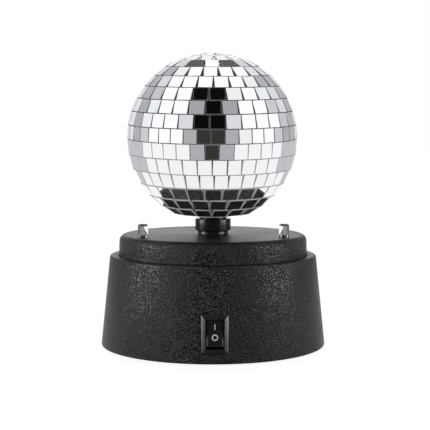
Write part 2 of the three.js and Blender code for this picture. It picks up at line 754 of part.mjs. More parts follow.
function upperPlate() {
  const bottom = UPPER_PLATE_HEIGHT;
  const top = bottom + PLATE_THICKNESS;
  const screwHoles = GEARBOX_SCREW_POSTS.map(([x, y]) =>
    cylinderAt(x, y, SCREW_HOLE_RADIUS, bottom - 1, top + 1, HOLE_SIDES),
  );
  const pegHoles = GEARBOX_PEG_POSTS.map(([x, y]) =>
    cylinderAt(x, y, POST_RADIUS / 2 + GAP, bottom - 1, top + 1, HOLE_SIDES),
  );
  const shaftHole = cylinderAt(0, 0, SHAFT_RADIUS + GAP, bottom - 1, top + 1, ROD_SIDES);
  const body = solid(extruded(plateOutline(GEARBOX_POSTS), bottom, top, 4));
  return cut(body, [...screwHoles, ...pegHoles, ...axleHoles(bottom), shaftHole]);
}

// ---------------------------------------------------------------- motor

const MOTOR_TOP = LOWER_PLATE_HEIGHT - GAP;
const MOTOR_BOTTOM = MOTOR_TOP - MOTOR_LENGTH;

function motorCan() {
  const inner = MOTOR_RADIUS - MOTOR_WALL;
  const hole = AXLE_RADIUS + RUNNING;
  return turnedRing(
    [
      [inner, MOTOR_BOTTOM],
      [MOTOR_RADIUS, MOTOR_BOTTOM],
      [MOTOR_RADIUS, MOTOR_TOP],
      [MOTOR_BOSS_RADIUS, MOTOR_TOP],
      [MOTOR_BOSS_RADIUS, MOTOR_TOP + PLATE_THICKNESS],
      [hole, MOTOR_TOP + PLATE_THICKNESS],
      [hole, MOTOR_TOP - MOTOR_WALL],
      [inner, MOTOR_TOP - MOTOR_WALL],
    ],
    CAN_SIDES,
  );
}

function motorEndCap() {
  const radius = MOTOR_RADIUS - MOTOR_WALL - GAP;
  return tube(AXLE_RADIUS + RUNNING, radius, MOTOR_BOTTOM, MOTOR_BOTTOM + END_CAP_THICKNESS);
}

function motorRotor() {
  const armatureBottom = MOTOR_BOTTOM + END_CAP_THICKNESS + BRUSH_ROOM;
  const armatureTop = MOTOR_TOP - MOTOR_WALL - ARMATURE_TOP_ROOM;
  const shaftTop = GEAR_LEVELS[1] - PINION_TOP_GAP / 2;
  return turned(
    [
      [0, MOTOR_BOTTOM - ROTOR_END],
      [AXLE_RADIUS, MOTOR_BOTTOM - ROTOR_END],
      [AXLE_RADIUS, armatureBottom],
      [ARMATURE_RADIUS, armatureBottom],
      [ARMATURE_RADIUS, armatureTop],
      [AXLE_RADIUS, armatureTop],
      [AXLE_RADIUS, shaftTop],
      [0, shaftTop],
    ],
    HOLE_SIDES,
  );
}

function motorPieces() {
  const place = [MOTOR[0], MOTOR[1], 0];
  const pinionBottom = MOTOR_TOP + PLATE_THICKNESS + GAP;
  const toGear = direction(MOTOR, FIRST_IDLER);
  const pinionTop = GEAR_LEVELS[1] - PINION_TOP_GAP;
  const motorPinion = pinion(toGear, AXLE_RADIUS + GAP, pinionBottom, pinionTop);
  return [
    piece("motor_can", motorCan(), "steel", place),
    piece("motor_end_cap", motorEndCap(), "ballShell", place),
    piece("motor_rotor", motorRotor(), "steel", place),
    piece("motor_pinion", motorPinion, "brass", place),
  ];
}

function gearboxPieces() {
  const [firstX, firstY] = FIRST_IDLER;
  const [secondX, secondY] = SECOND_IDLER;
  const bushBottom = UPPER_PLATE_HEIGHT + PLATE_THICKNESS + GAP;
  const bushTop = TIER_TOP + NECK_RING_HEIGHT - GAP;
  const shaftTop = COLLAR_SHOULDER + COLLAR_SPIGOT_LENGTH - BALL_WALL - GAP;
  const bush = tube(SHAFT_RADIUS + RUNNING, BUSH_RADIUS, bushBottom, bushTop);
  return [
    piece("gearbox_lower_plate", lowerPlate(), "frame"),
    piece("gearbox_upper_plate", upperPlate(), "frame"),
    piece("idler_axle_first", idlerAxle(), "steel", [firstX, firstY, 0]),
    piece("idler_axle_second", idlerAxle(), "steel", [secondX, secondY, 0]),
    ...idlerGears(),
    piece("output_gear", outputGear(), "gear"),
    piece("drive_shaft", cylinder(SHAFT_RADIUS, LOWER_PLATE_HEIGHT, shaftTop), "steel"),
    piece("shaft_bush", bush, "brass"),
    piece("ball_collar", ballCollar(), "gloss"),
  ];
}

// ---------------------------------------------------------------- underside and batteries

const CELL_BOTTOM = PLATE_TOP + GAP;
const CELL_AXIS_HEIGHT = CELL_BOTTOM + CELL_RADIUS;
const TRAY_INNER_WIDTH = (CELL_COUNT - 1) * CELL_PITCH + 2 * CELL_RADIUS + 2 * GAP;
const TRAY_INNER_LENGTH =
  CELL_LENGTH + CELL_NUB_LENGTH + SPRING_ROOM + 2 * CONTACT_THICKNESS + 4 * GAP;
const TRAY_CEILING = CELL_BOTTOM + 2 * CELL_RADIUS + TRAY_HEAD_ROOM;
const DOOR_HINGE_RADIUS = BOTTOM_THICKNESS / 2;
const DOOR_HINGE_X = TRAY_INNER_LENGTH / 2 - DOOR_GAP - DOOR_HINGE_RADIUS;
const DOOR_HINGE_Z = PLATE_RECESS + DOOR_HINGE_RADIUS;
const PLATE_RADIUS = BASE_BOTTOM_RADIUS - BASE_WALL - DRAFT_SLOPE * PLATE_TOP - 2 * GAP;
const WIRE_HOLE_RADIUS = WIRE_RADIUS + GAP;
const CONTACT_FACE = TRAY_INNER_LENGTH / 2 - GAP - CONTACT_THICKNESS;
const TRAY_Y = MOTOR[1] - MOTOR_RADIUS - MOTOR_TO_TRAY - TRAY_WALL - TRAY_INNER_WIDTH / 2;
const CELL_ROWS = Array.from(
  { length: CELL_COUNT },
  (_, index) => TRAY_Y + (index - (CELL_COUNT - 1) / 2) * CELL_PITCH,
);
const WIRE_EXIT_X = TRAY_INNER_LENGTH / 2 - GAP - CONTACT_THICKNESS / 2;

function trayBox(length, width, bottom, top) {
  return box([-length / 2, TRAY_Y - width / 2, bottom], [length / 2, TRAY_Y + width / 2, top]);
}

function doorPegHoles() {
  const reach = TRAY_INNER_WIDTH / 2 + DOOR_PEG_LENGTH + GAP - DOOR_GAP;
  const hole = new THREE.CylinderGeometry(
    DOOR_PEG_RADIUS + RUNNING,
    DOOR_PEG_RADIUS + RUNNING,
    2 * reach,
    HOLE_SIDES,
  );
  return solid(hole.translate(DOOR_HINGE_X, TRAY_Y, DOOR_HINGE_Z));
}

function bottomPlate() {
  const disc = cylinderAt(0, 0, PLATE_RADIUS, PLATE_RECESS, PLATE_TOP, BODY_SIDES);
  const bosses = CASE_SCREW_PLACES.map(([x, y]) =>
    cylinderAt(x, y, SCREW_BOSS_RADIUS + PLATE_BOSS_WALL, PLATE_TOP - JOIN, PLATE_BOSS_TOP),
  );
  const tray = trayBox(
    TRAY_INNER_LENGTH + 2 * TRAY_WALL,
    TRAY_INNER_WIDTH + 2 * TRAY_WALL,
    PLATE_TOP - JOIN,
    TRAY_CEILING + TRAY_WALL,
  );
  const bay = trayBox(TRAY_INNER_LENGTH, TRAY_INNER_WIDTH, -1, TRAY_CEILING);
  const counterbores = CASE_SCREW_PLACES.map(([x, y]) =>
    cylinderAt(x, y, SCREW_HEAD_RADIUS + GAP, 0, COUNTERBORE_TOP),
  );
  const footSockets = FOOT_PLACES.map(([x, y]) =>
    cylinderAt(x, y, FOOT_RADIUS + GAP, 0, PLATE_RECESS + FOOT_SOCKET_DEPTH, ROD_SIDES),
  );
  const trayTop = TRAY_CEILING + 2 * TRAY_WALL;
  const wireHoles = [CELL_ROWS[0], CELL_ROWS[CELL_COUNT - 1]].map((y, index) => {
    const x = index === 0 ? -WIRE_EXIT_X : WIRE_EXIT_X;
    return cylinderAt(x, y, WIRE_HOLE_RADIUS, TRAY_CEILING - JOIN, trayTop, HOLE_SIDES);
  });
  const body = joined([disc, ...bosses, tray]);
  const screwHoles = caseScrewHoles(0, PLATE_BOSS_TOP + 1);
  const holes = [bay, doorPegHoles(), ...counterbores, ...footSockets, ...wireHoles];
  return cut(body, [...holes, ...screwHoles]);
}

// A plate with a round edge on its hinge side, a peg at each end of that edge and a finger groove
// by the edge that opens.
function batteryDoor() {
  const width = TRAY_INNER_WIDTH - 2 * DOOR_GAP;
  const freeEdge = -TRAY_INNER_LENGTH / 2 + DOOR_GAP;
  const grooveStart = freeEdge + FINGER_GROOVE_INSET;
  const panel = box(
    [freeEdge, TRAY_Y - width / 2, PLATE_RECESS],
    [DOOR_HINGE_X, TRAY_Y + width / 2, PLATE_RECESS + BOTTOM_THICKNESS],
  );
  const edge = new THREE.CylinderGeometry(
    DOOR_HINGE_RADIUS,
    DOOR_HINGE_RADIUS,
    width,
    ROD_SIDES,
  );
  const pegs = new THREE.CylinderGeometry(
    DOOR_PEG_RADIUS,
    DOOR_PEG_RADIUS,
    width + 2 * DOOR_PEG_LENGTH,
    HOLE_SIDES,
  );
  const groove = box(
    [grooveStart, TRAY_Y - FINGER_GROOVE_LENGTH / 2, 0],
    [
      grooveStart + FINGER_GROOVE_WIDTH,
      TRAY_Y + FINGER_GROOVE_LENGTH / 2,
      PLATE_RECESS + BOTTOM_THICKNESS / 3,
    ],
  );
  const barrel = [edge, pegs].map((shape) =>
    solid(shape.translate(DOOR_HINGE_X, TRAY_Y, DOOR_HINGE_Z)),
  );
  return cut(joined([panel, ...barrel]), [groove]);
}

// A cell lies along X with its nub towards side (1 or -1).
function batteryCell(index) {
  const side = index % 2 === 0 ? 1 : -1;
  const nubEnd = CONTACT_FACE - GAP;
  const profile = [
    [0, nubEnd - CELL_NUB_LENGTH - CELL_LENGTH],
    [CELL_RADIUS, nubEnd - CELL_NUB_LENGTH - CELL_LENGTH],
    [CELL_RADIUS, nubEnd - CELL_NUB_LENGTH],
    [CELL_NUB_RADIUS, nubEnd - CELL_NUB_LENGTH],
    [CELL_NUB_RADIUS, nubEnd],
    [0, nubEnd],
  ];
  const place = [0, CELL_ROWS[index], CELL_AXIS_HEIGHT];
  const name = `battery_cell_${index + 1}`;
  const turn = [0, (side * Math.PI) / 2, 0];
  return piece(name, turned(profile, ROD_SIDES), "cell", place, turn);
}

class ConeSpring extends THREE.Curve {
  getPoint(t, target = new THREE.Vector3()) {
    const radius = SPRING_RADIUS + (SPRING_TIP_RADIUS - SPRING_RADIUS) * t;
    const angle = t * SPRING_TURNS * 2 * Math.PI;
    const length = SPRING_ROOM - 2 * SPRING_WIRE_RADIUS;
    return target.set(radius * Math.cos(angle), radius * Math.sin(angle), t * length);
  }
}

function springGeometry() {
  const section = new THREE.Shape();
  section.absarc(0, 0, SPRING_WIRE_RADIUS, 0, 2 * Math.PI, false);
  const options = { steps: SPRING_STEPS, extrudePath: new ConeSpring(), curveSegments: 2 };
  return new THREE.ExtrudeGeometry(section, options);
}

// A contact on one end wall of the tray; the springs press the cells' flat ends.
function contact(name, side, cells) {
  const springCell = cells.find((index) => (index % 2 === 0 ? 1 : -1) !== side);
  const rows = cells.map((index) => CELL_ROWS[index]);
  const outer = side * (CONTACT_FACE + CONTACT_THICKNESS);
  const inner = side * CONTACT_FACE;
  const plate = box(
    [Math.min(outer, inner), Math.min(...rows) - CONTACT_WIDTH / 2, CELL_BOTTOM + CONTACT_MARGIN],
    [Math.max(outer, inner), Math.max(...rows) + CONTACT_WIDTH / 2, TRAY_CEILING - CONTACT_MARGIN],
  );
  if (springCell === undefined) return piece(name, plate, "steel");
  const place = [inner, CELL_ROWS[springCell], CELL_AXIS_HEIGHT];
  const spring = springGeometry().rotateY((-side * Math.PI) / 2).translate(...place);
  return piece(name, joined([plate, solid(spring)]), "steel");
}

function batteryPieces() {
  return [
    piece("bottom_plate", bottomPlate(), "shell"),
    piece("battery_door", batteryDoor(), "shell"),
    ...CELL_ROWS.map((_, index) => batteryCell(index)),
    contact("contact_negative", -1, [0]),
    contact("contact_link_left", -1, [1, 2]),
    contact("contact_link_right", 1, [0, 1]),
    contact("contact_positive", 1, [2]),
  ];
}

// ---------------------------------------------------------------- feet and screws

function feet() {
  const top = PLATE_RECESS + FOOT_SOCKET_DEPTH - GAP;
  return FOOT_PLACES.map(([x, y], index) =>
    piece(`foot_${index + 1}`, cylinder(FOOT_RADIUS, -FOOT_PROUD, top), "rubber", [x, y, 0]),
  );
}

// A pan-headed screw whose head is below its shank.
function screw(headBottom, tip) {
  const headTop = headBottom + SCREW_HEAD_HEIGHT;
  return turned(
    [
      [0, headBottom],
      [SCREW_HEAD_RADIUS - SCREW_HEAD_CHAMFER, headBottom],
      [SCREW_HEAD_RADIUS, headBottom + SCREW_HEAD_CHAMFER],
      [SCREW_HEAD_RADIUS, headTop],
      [SCREW_RADIUS, headTop],
      [SCREW_RADIUS, tip - SCREW_POINT],
      [0, tip],
    ],
    HOLE_SIDES,
  );
}

function screws() {
  const caseTip = SHELF_TOP + GAP + CASE_SCREW_BITE;
  const caseHead = COUNTERBORE_TOP - GAP - SCREW_HEAD_HEIGHT;
  const gearboxHead = LOWER_PLATE_HEIGHT - GAP - SCREW_HEAD_HEIGHT;
  const caseScrews = CASE_SCREW_PLACES.map(([x, y], index) =>
    piece(`case_screw_${index + 1}`, screw(caseHead, caseTip), "steel", [x, y, 0]),
  );
  const gearboxScrews = GEARBOX_SCREW_POSTS.map(([x, y], index) =>
    piece(`gearbox_screw_${index + 1}`, screw(gearboxHead, TIER_UNDERSIDE - GAP), "steel", [x, y, 0]),
  );
  return [...caseScrews, ...gearboxScrews];
}

// ---------------------------------------------------------------- lamps

function lamp() {
  const top = TIER_TOP + LAMP_RISE;
  const flangeTop = BOARD_TOP + GAP + LAMP_FLANGE_HEIGHT;
  return turned(
    [
      [0, BOARD_TOP + GAP],
      [LAMP_FLANGE_RADIUS, BOARD_TOP + GAP],
      [LAMP_FLANGE_RADIUS, flangeTop],
      [LAMP_RADIUS, flangeTop],
      [LAMP_RADIUS, top - LAMP_CHAMFER],
      [LAMP_RADIUS - LAMP_CHAMFER, top],
      [0, top],
    ],
    CAN_SIDES,
  );
}

function lampBoard() {
  const bottom = BOARD_TOP - BOARD_THICKNESS;
  const ring = solid(tube(BOARD_INNER_RADIUS, BOARD_OUTER_RADIUS, bottom, BOARD_TOP, BODY_SIDES / 2));
  const clearances = CASE_SCREW_PLACES.map(([x, y]) =>
    cylinderAt(x, y, SCREW_BOSS_RADIUS + GAP, bottom - 1, BOARD_TOP + 1),
  );
  return cut(ring, clearances);
}

function lamps() {
  const names = ["led_rear", "led_front_left", "led_front_right"];
  return [
    ...LAMP_PLACES.map(([x, y], index) => piece(names[index], lamp(), "lens", [x, y, 0])),
    piece("led_board", lampBoard(), "board"),
  ];
}

// ---------------------------------------------------------------- switch

function bezelPlate() {
  const half = [BEZEL_WIDTH / 2 - BEZEL_BEVEL_WIDTH, BEZEL_LENGTH / 2 - BEZEL_BEVEL_WIDTH];
  const outline = new THREE.Shape([
    new THREE.Vector2(-half[0], -half[1]),
    new THREE.Vector2(half[0], -half[1]),
    new THREE.Vector2(half[0], half[1]),
    new THREE.Vector2(-half[0], half[1]),
  ]);
  const options = {
    depth: BEZEL_EDGE,
    bevelThickness: BEZEL_BEVEL_RISE,
    bevelSize: BEZEL_BEVEL_WIDTH,
    bevelSegments: 1,
  };
  const plate = new THREE.ExtrudeGeometry(outline, options);
  const back = SWITCH_SEAT_DEPTH - GAP;
  const trim = switchBlock(2 * BEZEL_WIDTH, 2 * BEZEL_LENGTH, back, back + 4 * BEZEL_EDGE);
  return cut(solid(plate.rotateX(Math.PI / 2).translate(0, back, 0)), [solid(trim)]);
}

function switchHousing() {
  const front = SWITCH_SEAT_DEPTH - GAP;
  const back = front + SWITCH_BODY_DEPTH;
  const body = switchBlock(SWITCH_BODY_WIDTH, SWITCH_BODY_LENGTH, front - JOIN / 2, back);
  const pit = switchBlock(
    SWITCH_PIT_WIDTH,
    SWITCH_PIT_LENGTH,
    -4 * BEZEL_BEVEL_RISE,
    SWITCH_PIT_DEPTH,
  );
  const terminals = [-1, 1].map((side) => {
    const blade = new THREE.BoxGeometry(
      TERMINAL_THICKNESS,
      TERMINAL_LENGTH + 2 * JOIN,
      TERMINAL_WIDTH,
    );
    const middle = back + TERMINAL_LENGTH / 2 - JOIN;
    return solid(blade.translate(side * TERMINAL_OFFSET, middle, 0));
  });
  return joined([cut(joined([bezelPlate(), solid(body)]), [solid(pit)]), ...terminals]);
}

// The rocker's side view: two faces that meet in a shallow vee, and round ends about its pivot.
function rocker() {
  const front = -ROCKER_FRONT - ROCKER_VEE;
  const outline = new THREE.Shape();
  outline.moveTo(-ROCKER_FRONT, 0);
  outline.lineTo(front, -ROCKER_HALF_LENGTH);
  outline.lineTo(0, -ROCKER_HALF_LENGTH - ROCKER_SHOULDER);
  outline.lineTo(ROCKER_BACK, -ROCKER_BACK_HALF_LENGTH);
  outline.lineTo(ROCKER_BACK, ROCKER_BACK_HALF_LENGTH);
  outline.lineTo(0, ROCKER_HALF_LENGTH + ROCKER_SHOULDER);
  outline.lineTo(front, ROCKER_HALF_LENGTH);
  outline.closePath();
  const profile = extruded(outline, -ROCKER_WIDTH / 2, ROCKER_WIDTH / 2);
  // The outline's own x and y become depth and height, and its thickness lies across the switch.
  const standing = profile.rotateY(Math.PI / 2).rotateX(Math.PI / 2);
  return standing.rotateX(-ROCKER_THROW / 2);
}

function switchPieces() {
  const group = new THREE.Group();
  group.position.set(0, -baseRadius(SWITCH_HEIGHT), SWITCH_HEIGHT);
  group.rotation.x = -WALL_TILT;
  group.add(
    piece("switch_housing", switchHousing(), "gloss"),
    piece("switch_rocker", rocker(), "gloss", [0, ROCKER_PIVOT_DEPTH, 0]),
  );
  return group;
}

// ---------------------------------------------------------------- wires

function wire(name, points, colour) {
  const path = new THREE.CatmullRomCurve3(points.map((point) => new THREE.Vector3(...point)));
  const section = new THREE.Shape();
  section.absarc(0, 0, WIRE_RADIUS, 0, 2 * Math.PI, false);
  const options = { steps: 18, extrudePath: path, curveSegments: 3 };
  return piece(name, new THREE.ExtrudeGeometry(section, options), colour);
}

function wires() {
  const terminalY = -baseRadius(SWITCH_HEIGHT) + SWITCH_BODY_DEPTH + TERMINAL_LENGTH + 1;
  const terminalZ = SWITCH_HEIGHT;
  const contactTop = TRAY_CEILING - 1 + GAP;
  const lastRow = CELL_ROWS[CELL_COUNT - 1];
  const overTray = TRAY_CEILING + TRAY_WALL + 3;
  const beforeTray = TRAY_Y - TRAY_INNER_WIDTH / 2 - TRAY_WALL - 2;
  return [
    wire(
      "wire_battery_to_switch",
      [
        [WIRE_EXIT_X, lastRow, contactTop],
        [WIRE_EXIT_X, lastRow, overTray - 1],
        [WIRE_EXIT_X - 2, 0, overTray + 2],
        [18, beforeTray, overTray + 1],
        [8, terminalY + 10, terminalZ + 4],
        [TERMINAL_OFFSET, terminalY + 1, terminalZ],
      ],
      "redWire",
    ),
    wire(
      "wire_switch_to_motor",
      [
        [-TERMINAL_OFFSET, terminalY + 1, terminalZ],
        [-8, terminalY + 10, terminalZ + 4],
        [-20, beforeTray, overTray + 1],
        [-26, 0, overTray + 2],
        [-22, MOTOR[1] - 6, overTray - 2],
        [-15, MOTOR[1] - 1, MOTOR_BOTTOM - 1],
        [-8, MOTOR[1], MOTOR_BOTTOM - 3],
        [-4, MOTOR[1], MOTOR_BOTTOM - 1],
      ],
      "blackWire",
    ),
  ];
}

// ---------------------------------------------------------------- the whole object

const assembly = new THREE.Group();
assembly.position.z = FOOT_PROUD;
assembly.add(
  piece("base_shell", baseShell(), "shell"),
  piece("top_cover", topCover(), "shell"),
  ballAssembly(),
  ...gearboxPieces(),
  ...motorPieces(),
  ...batteryPieces(),
  ...feet(),
  ...screws(),
  ...lamps(),
  switchPieces(),
  ...wires(),
);

const mirrorBall = new THREE.Group();
mirrorBall.add(assembly);
export default mirrorBall;
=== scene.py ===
"""A 100 mm mirror ball on a tapered black battery base: its materials, details, studio and camera.

Shapes are written in millimetres, on the ball's spin axis and above the floor, and become metres
when a mesh is made.
"""

import json
import math
import random

import bmesh
import bpy
from mathutils import Matrix, Vector

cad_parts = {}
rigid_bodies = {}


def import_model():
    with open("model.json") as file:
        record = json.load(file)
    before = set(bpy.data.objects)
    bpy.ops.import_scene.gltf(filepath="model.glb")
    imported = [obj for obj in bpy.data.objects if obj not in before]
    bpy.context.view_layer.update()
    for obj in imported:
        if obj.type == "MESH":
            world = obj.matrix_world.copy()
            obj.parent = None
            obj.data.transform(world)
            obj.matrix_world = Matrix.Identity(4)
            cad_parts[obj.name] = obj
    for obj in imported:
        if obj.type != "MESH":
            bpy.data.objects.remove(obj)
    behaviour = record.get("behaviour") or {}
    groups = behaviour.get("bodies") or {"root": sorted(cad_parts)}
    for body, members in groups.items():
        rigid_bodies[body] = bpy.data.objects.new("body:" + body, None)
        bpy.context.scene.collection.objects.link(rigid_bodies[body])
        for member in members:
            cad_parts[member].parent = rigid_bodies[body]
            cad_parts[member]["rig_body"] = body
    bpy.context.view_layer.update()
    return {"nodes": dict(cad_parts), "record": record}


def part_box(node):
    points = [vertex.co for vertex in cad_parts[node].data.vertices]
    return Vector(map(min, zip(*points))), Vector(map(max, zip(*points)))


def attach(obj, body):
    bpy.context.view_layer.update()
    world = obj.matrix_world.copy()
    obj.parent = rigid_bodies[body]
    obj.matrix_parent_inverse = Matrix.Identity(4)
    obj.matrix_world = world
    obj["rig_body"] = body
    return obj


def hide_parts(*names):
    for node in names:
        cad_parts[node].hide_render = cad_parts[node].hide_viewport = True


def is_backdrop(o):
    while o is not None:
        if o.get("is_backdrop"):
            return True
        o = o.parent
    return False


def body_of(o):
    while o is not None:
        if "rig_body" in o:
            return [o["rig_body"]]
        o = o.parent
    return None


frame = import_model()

MM = 0.001
RNG = random.Random(20)


# ------------------------------------------------------------------ sizes, in millimetres


def node_box(name):
    low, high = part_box(name)
    return low / MM, high / MM


BASE_LOW, BASE_HIGH = node_box("base_shell")
COVER_HIGH = node_box("top_cover")[1]
COLLAR_LOW, COLLAR_HIGH = node_box("ball_collar")
SHELL_HIGH = node_box("ball_shell_upper")[1]

SMOOTH = 160  # sides of a large round
BALL_ROUND = 96  # sides of the ball's shell and collar
ROUND = 48  # sides of a small round
HOLE_ROUND = 24  # sides of a hole
FIT_GAP = 0.3  # between a fixed piece and the one it seats in
TOUCH = 0.01  # nearer than this counts as level
EXTRA = 1.0  # how far a cutter runs past the wall it cuts

FLOOR_EDGE = BASE_LOW.z
LEDGE = BASE_HIGH.z
BASE_RADIUS = BASE_HIGH.x
LEDGE_RADIUS = 61.2
WALL = 2.4
BASE_TOP_ROUND = 1.4
BASE_FOOT_ROUND = 0.8
GROOVE_RADIUS = 56.1
GROOVE_FLOOR = LEDGE - 1.8
GROOVE_LIP_ROUND = 0.25
SHELF_RADIUS = 45.5
SHELF_THICKNESS = 2.2
DRAFT = (BASE_RADIUS - LEDGE_RADIUS) / (LEDGE - FLOOR_EDGE)
WALL_TILT = math.atan(DRAFT)

TIER_RADIUS = COVER_HIGH.x
NECK_TOP = COVER_HIGH.z
NECK_RING_HEIGHT = 1.9
NECK_RING_RADIUS = 9.0
TIER_TOP = NECK_TOP - NECK_RING_HEIGHT
TIER_WALL = 2.2
TIER_FILLET = 3.8
TIER_DRAFT_DEGREES = 2
TIER_DRAFT = math.radians(TIER_DRAFT_DEGREES)
NECK_RING_FILLET = 0.4
NECK_RING_EDGE = 0.3
BUSH_HOLE_RADIUS = 4.3
BUSH_HOUSING_RADIUS = 7.0
BUSH_HOUSING_DROP = 2.0

BALL_SHELL_RADIUS = 47.5
BALL_CENTRE = SHELL_HIGH.z - BALL_SHELL_RADIUS
BALL_RADIUS = 50.0
BALL_WALL = 1.8
GLASS = 1.6
COURSE_GAP = 0.4
LOWEST_GAP = 1.0  # round the lowest courses
LOWEST_COURSES = 3
BALL_SHIFT = -0.45  # how far the ball sits off its axis, along X
TILE_CORNER_RADIUS = 50.25
POLAR_CORNER_RADIUS = 49.95  # for the courses past POLAR_LATITUDE
POLAR_LATITUDE = math.radians(66)
TILE_GAP = 0.36  # where a course's neighbours come closest
TILE_GRIND = 0.1  # the ground edge round a tile's front
TILE_TILTS = (("X", 0.6), ("Y", 0.8), ("Z", 0.5))  # degrees of spread in how a tile is laid
TILE_WIDTH_SPREAD = 0.12
GLUE_AND_PAINTED_LIGHT_UPPER_COURSE = 6.5  # the upper courses beyond this many pitches have pale edges: glue, with painted light
GLUE_AND_LIGHT_ABOVE = 56  # degrees of latitude
GLUE_AND_LIGHT_BELOW = -29
CAP_SHARE = 0.98  # of the largest square that fits in the last course
CAP_TURN = 0.3
COURSE_LEAN = math.radians(3.5)
UPPER_PITCH = math.radians(9.5)
LOWER_PITCH = math.radians(10.25)
# Tiles in each course from the equator outwards, and the share of a tile by which its joint is
# turned away from the front.
UPPER_COURSES = (
    (40, -0.18), (34, -0.24), (31, 0.5), (28, -0.25), (26, 0.01), (22, 0.34), (16, 0.44), (12, 0.1),
    (6, 0.3),
)
LOWER_COURSES = ((38, 0.4), (36, -0.08), (35, 0.05), (26, 0.5), (22, -0.2), (18, -0.07))

COLLAR_RADIUS = COLLAR_HIGH.x
COLLAR_SPIGOT_RADIUS = 8.0
COLLAR_SPIGOT_LENGTH = 4.8
COLLAR_SHOULDER = COLLAR_HIGH.z - COLLAR_SPIGOT_LENGTH

SWITCH_HEIGHT = 16.3
SEAT_DEPTH = 0.45
BEZEL_SIZE = (15.0, 21.0)
BEZEL_BACK = 0.15
BEZEL_EDGE_FRONT = -0.55
BEZEL_FRONT = -1.65
BEZEL_BEVEL = 2.2
PIT_SIZE = (9.5, 15.9)
PIT_DEPTH = 7.4
SWITCH_BODY = (12.6, 18.6, 12.0)
ROCKER_WIDTH = 8.9
ROCKER_PIVOT = 2.4
ROCKER_TILT = math.radians(-9)

LAMP_CIRCLE = 46.8
LAMP_RADIUS = 3.0
SCREW_CIRCLE = 49.5
SCREW_HOLE_RADIUS = 1.7
SCREW_COLUMN_BOTTOM = 7.8
SCREW_BITE = 7.6  # how far the holes run up into the cover's bosses
SCREW_COLUMN_RADIUS = 3.6
FOOT_CIRCLE = 56.0
FOOT_RADIUS = 5.0
FOOT_ROUND = 0.5


# ------------------------------------------------------------------ mesh helpers


def make_object(name, bm, materials, smooth_angle=35):
    """An object in metres from a bmesh in millimetres."""
    bmesh.ops.recalc_face_normals(bm, faces=bm.faces)
    bmesh.ops.scale(bm, vec=(MM, MM, MM), verts=bm.verts)
    mesh = bpy.data.meshes.new(name)
    bm.to_mesh(mesh)
    bm.free()
    for material in materials:
        mesh.materials.append(material)
    mesh.shade_smooth()
    mesh.set_sharp_from_angle(angle=math.radians(smooth_angle))
    obj = bpy.data.objects.new(name, mesh)
    bpy.context.scene.collection.objects.link(obj)
    return obj


def arc(radius, height, size, start, end, steps):
    """[radius, height] points of an arc of a turned profile, angles in degrees."""
    points = []
    for step in range(steps + 1):
        angle = math.radians(start + (end - start) * step / steps)
        points.append((radius + size * math.cos(angle), height + size * math.sin(angle)))
    return points


def turned(profile, sides=SMOOTH, bm=None, place=(0, 0, 0)):
    """A closed profile of (radius, height) points turned about Z. Points on the axis are shared."""
    bm = bm or bmesh.new()
    rings = []
    for radius, height in profile:
        if radius == 0:
            rings.append([bm.verts.new((place[0], place[1], place[2] + height))])
            continue
        rings.append(
            [
                bm.verts.new(
                    (
                        place[0] + radius * math.cos(2 * math.pi * side / sides),
                        place[1] + radius * math.sin(2 * math.pi * side / sides),
                        place[2] + height,
                    )
                )
                for side in range(sides)
            ]
        )
    for ring, following in zip(rings, rings[1:] + rings[:1]):
        if len(ring) == 1 and len(following) == 1:
            continue
        for side in range(sides):
            after = (side + 1) % sides
            corners = [ring[side % len(ring)], ring[after % len(ring)]]
            corners += [following[after % len(following)], following[side % len(following)]]
            distinct = list(dict.fromkeys(corners))
            bm.faces.new(distinct)
    return bm


def rod(x, y, radius, low, high, sides=ROUND, bm=None):
    return turned([(0, low), (radius, low), (radius, high), (0, high)], sides, bm, (x, y, 0))


def block(low, high, matrix=None, bm=None):
    bm = bm or bmesh.new()
    size = [b - a for a, b in zip(low, high)]
    middle = [(a + b) / 2 for a, b in zip(low, high)]
    place = Matrix.Translation(middle) @ Matrix.Diagonal((*size, 1))
    bmesh.ops.create_cube(bm, size=1, matrix=(matrix or Matrix()) @ place)
    return bm


def combine(obj, bm, operation):
    """Joins a tool in millimetres to an object or cuts it away."""
    tool = make_object(obj.name + "_tool", bm, [])
    modifier = obj.modifiers.new("combine", "BOOLEAN")
    modifier.operation = operation
    modifier.solver = "EXACT"
    modifier.object = tool
    bpy.context.view_layer.update()
    depsgraph = bpy.context.evaluated_depsgraph_get()
    mesh = bpy.data.meshes.new_from_object(obj.evaluated_get(depsgraph))
    obj.modifiers.clear()
    old = obj.data
    obj.data = mesh
    bpy.data.meshes.remove(old)
    tool_mesh = tool.data
    bpy.data.objects.remove(tool)
    bpy.data.meshes.remove(tool_mesh)
    mesh.shade_smooth()
    mesh.set_sharp_from_angle(angle=math.radians(35))
    return obj


def bevelled(bm, width, segments, angle=30):
    """Rounds every edge that turns by more than an angle in degrees."""
    bmesh.ops.remove_doubles(bm, verts=bm.verts, dist=1e-4)
    bmesh.ops.recalc_face_normals(bm, faces=bm.faces)
    edges = [
        edge
        for edge in bm.edges
        if edge.is_manifold and edge.calc_face_angle() > math.radians(angle)
    ]
    bmesh.ops.bevel(
        bm, geom=edges, offset=width, segments=segments, affect="EDGES", profile=0.5,
        clamp_overlap=True,
    )
    return bm


def prism(outline, low, high, bm=None):
    """An outline of (x, y) points stood up along Z."""
    bm = bm or bmesh.new()
    bottom = [bm.verts.new((x, y, low)) for x, y in outline]
    top = [bm.verts.new((x, y, high)) for x, y in outline]
    bm.faces.new(bottom[::-1])
    bm.faces.new(top)
    for index in range(len(outline)):
        after = (index + 1) % len(outline)
        bm.faces.new((bottom[index], bottom[after], top[after], top[index]))
    return bm


def on_circle(radius, degrees):
    return radius * math.cos(math.radians(degrees)), radius * math.sin(math.radians(degrees))


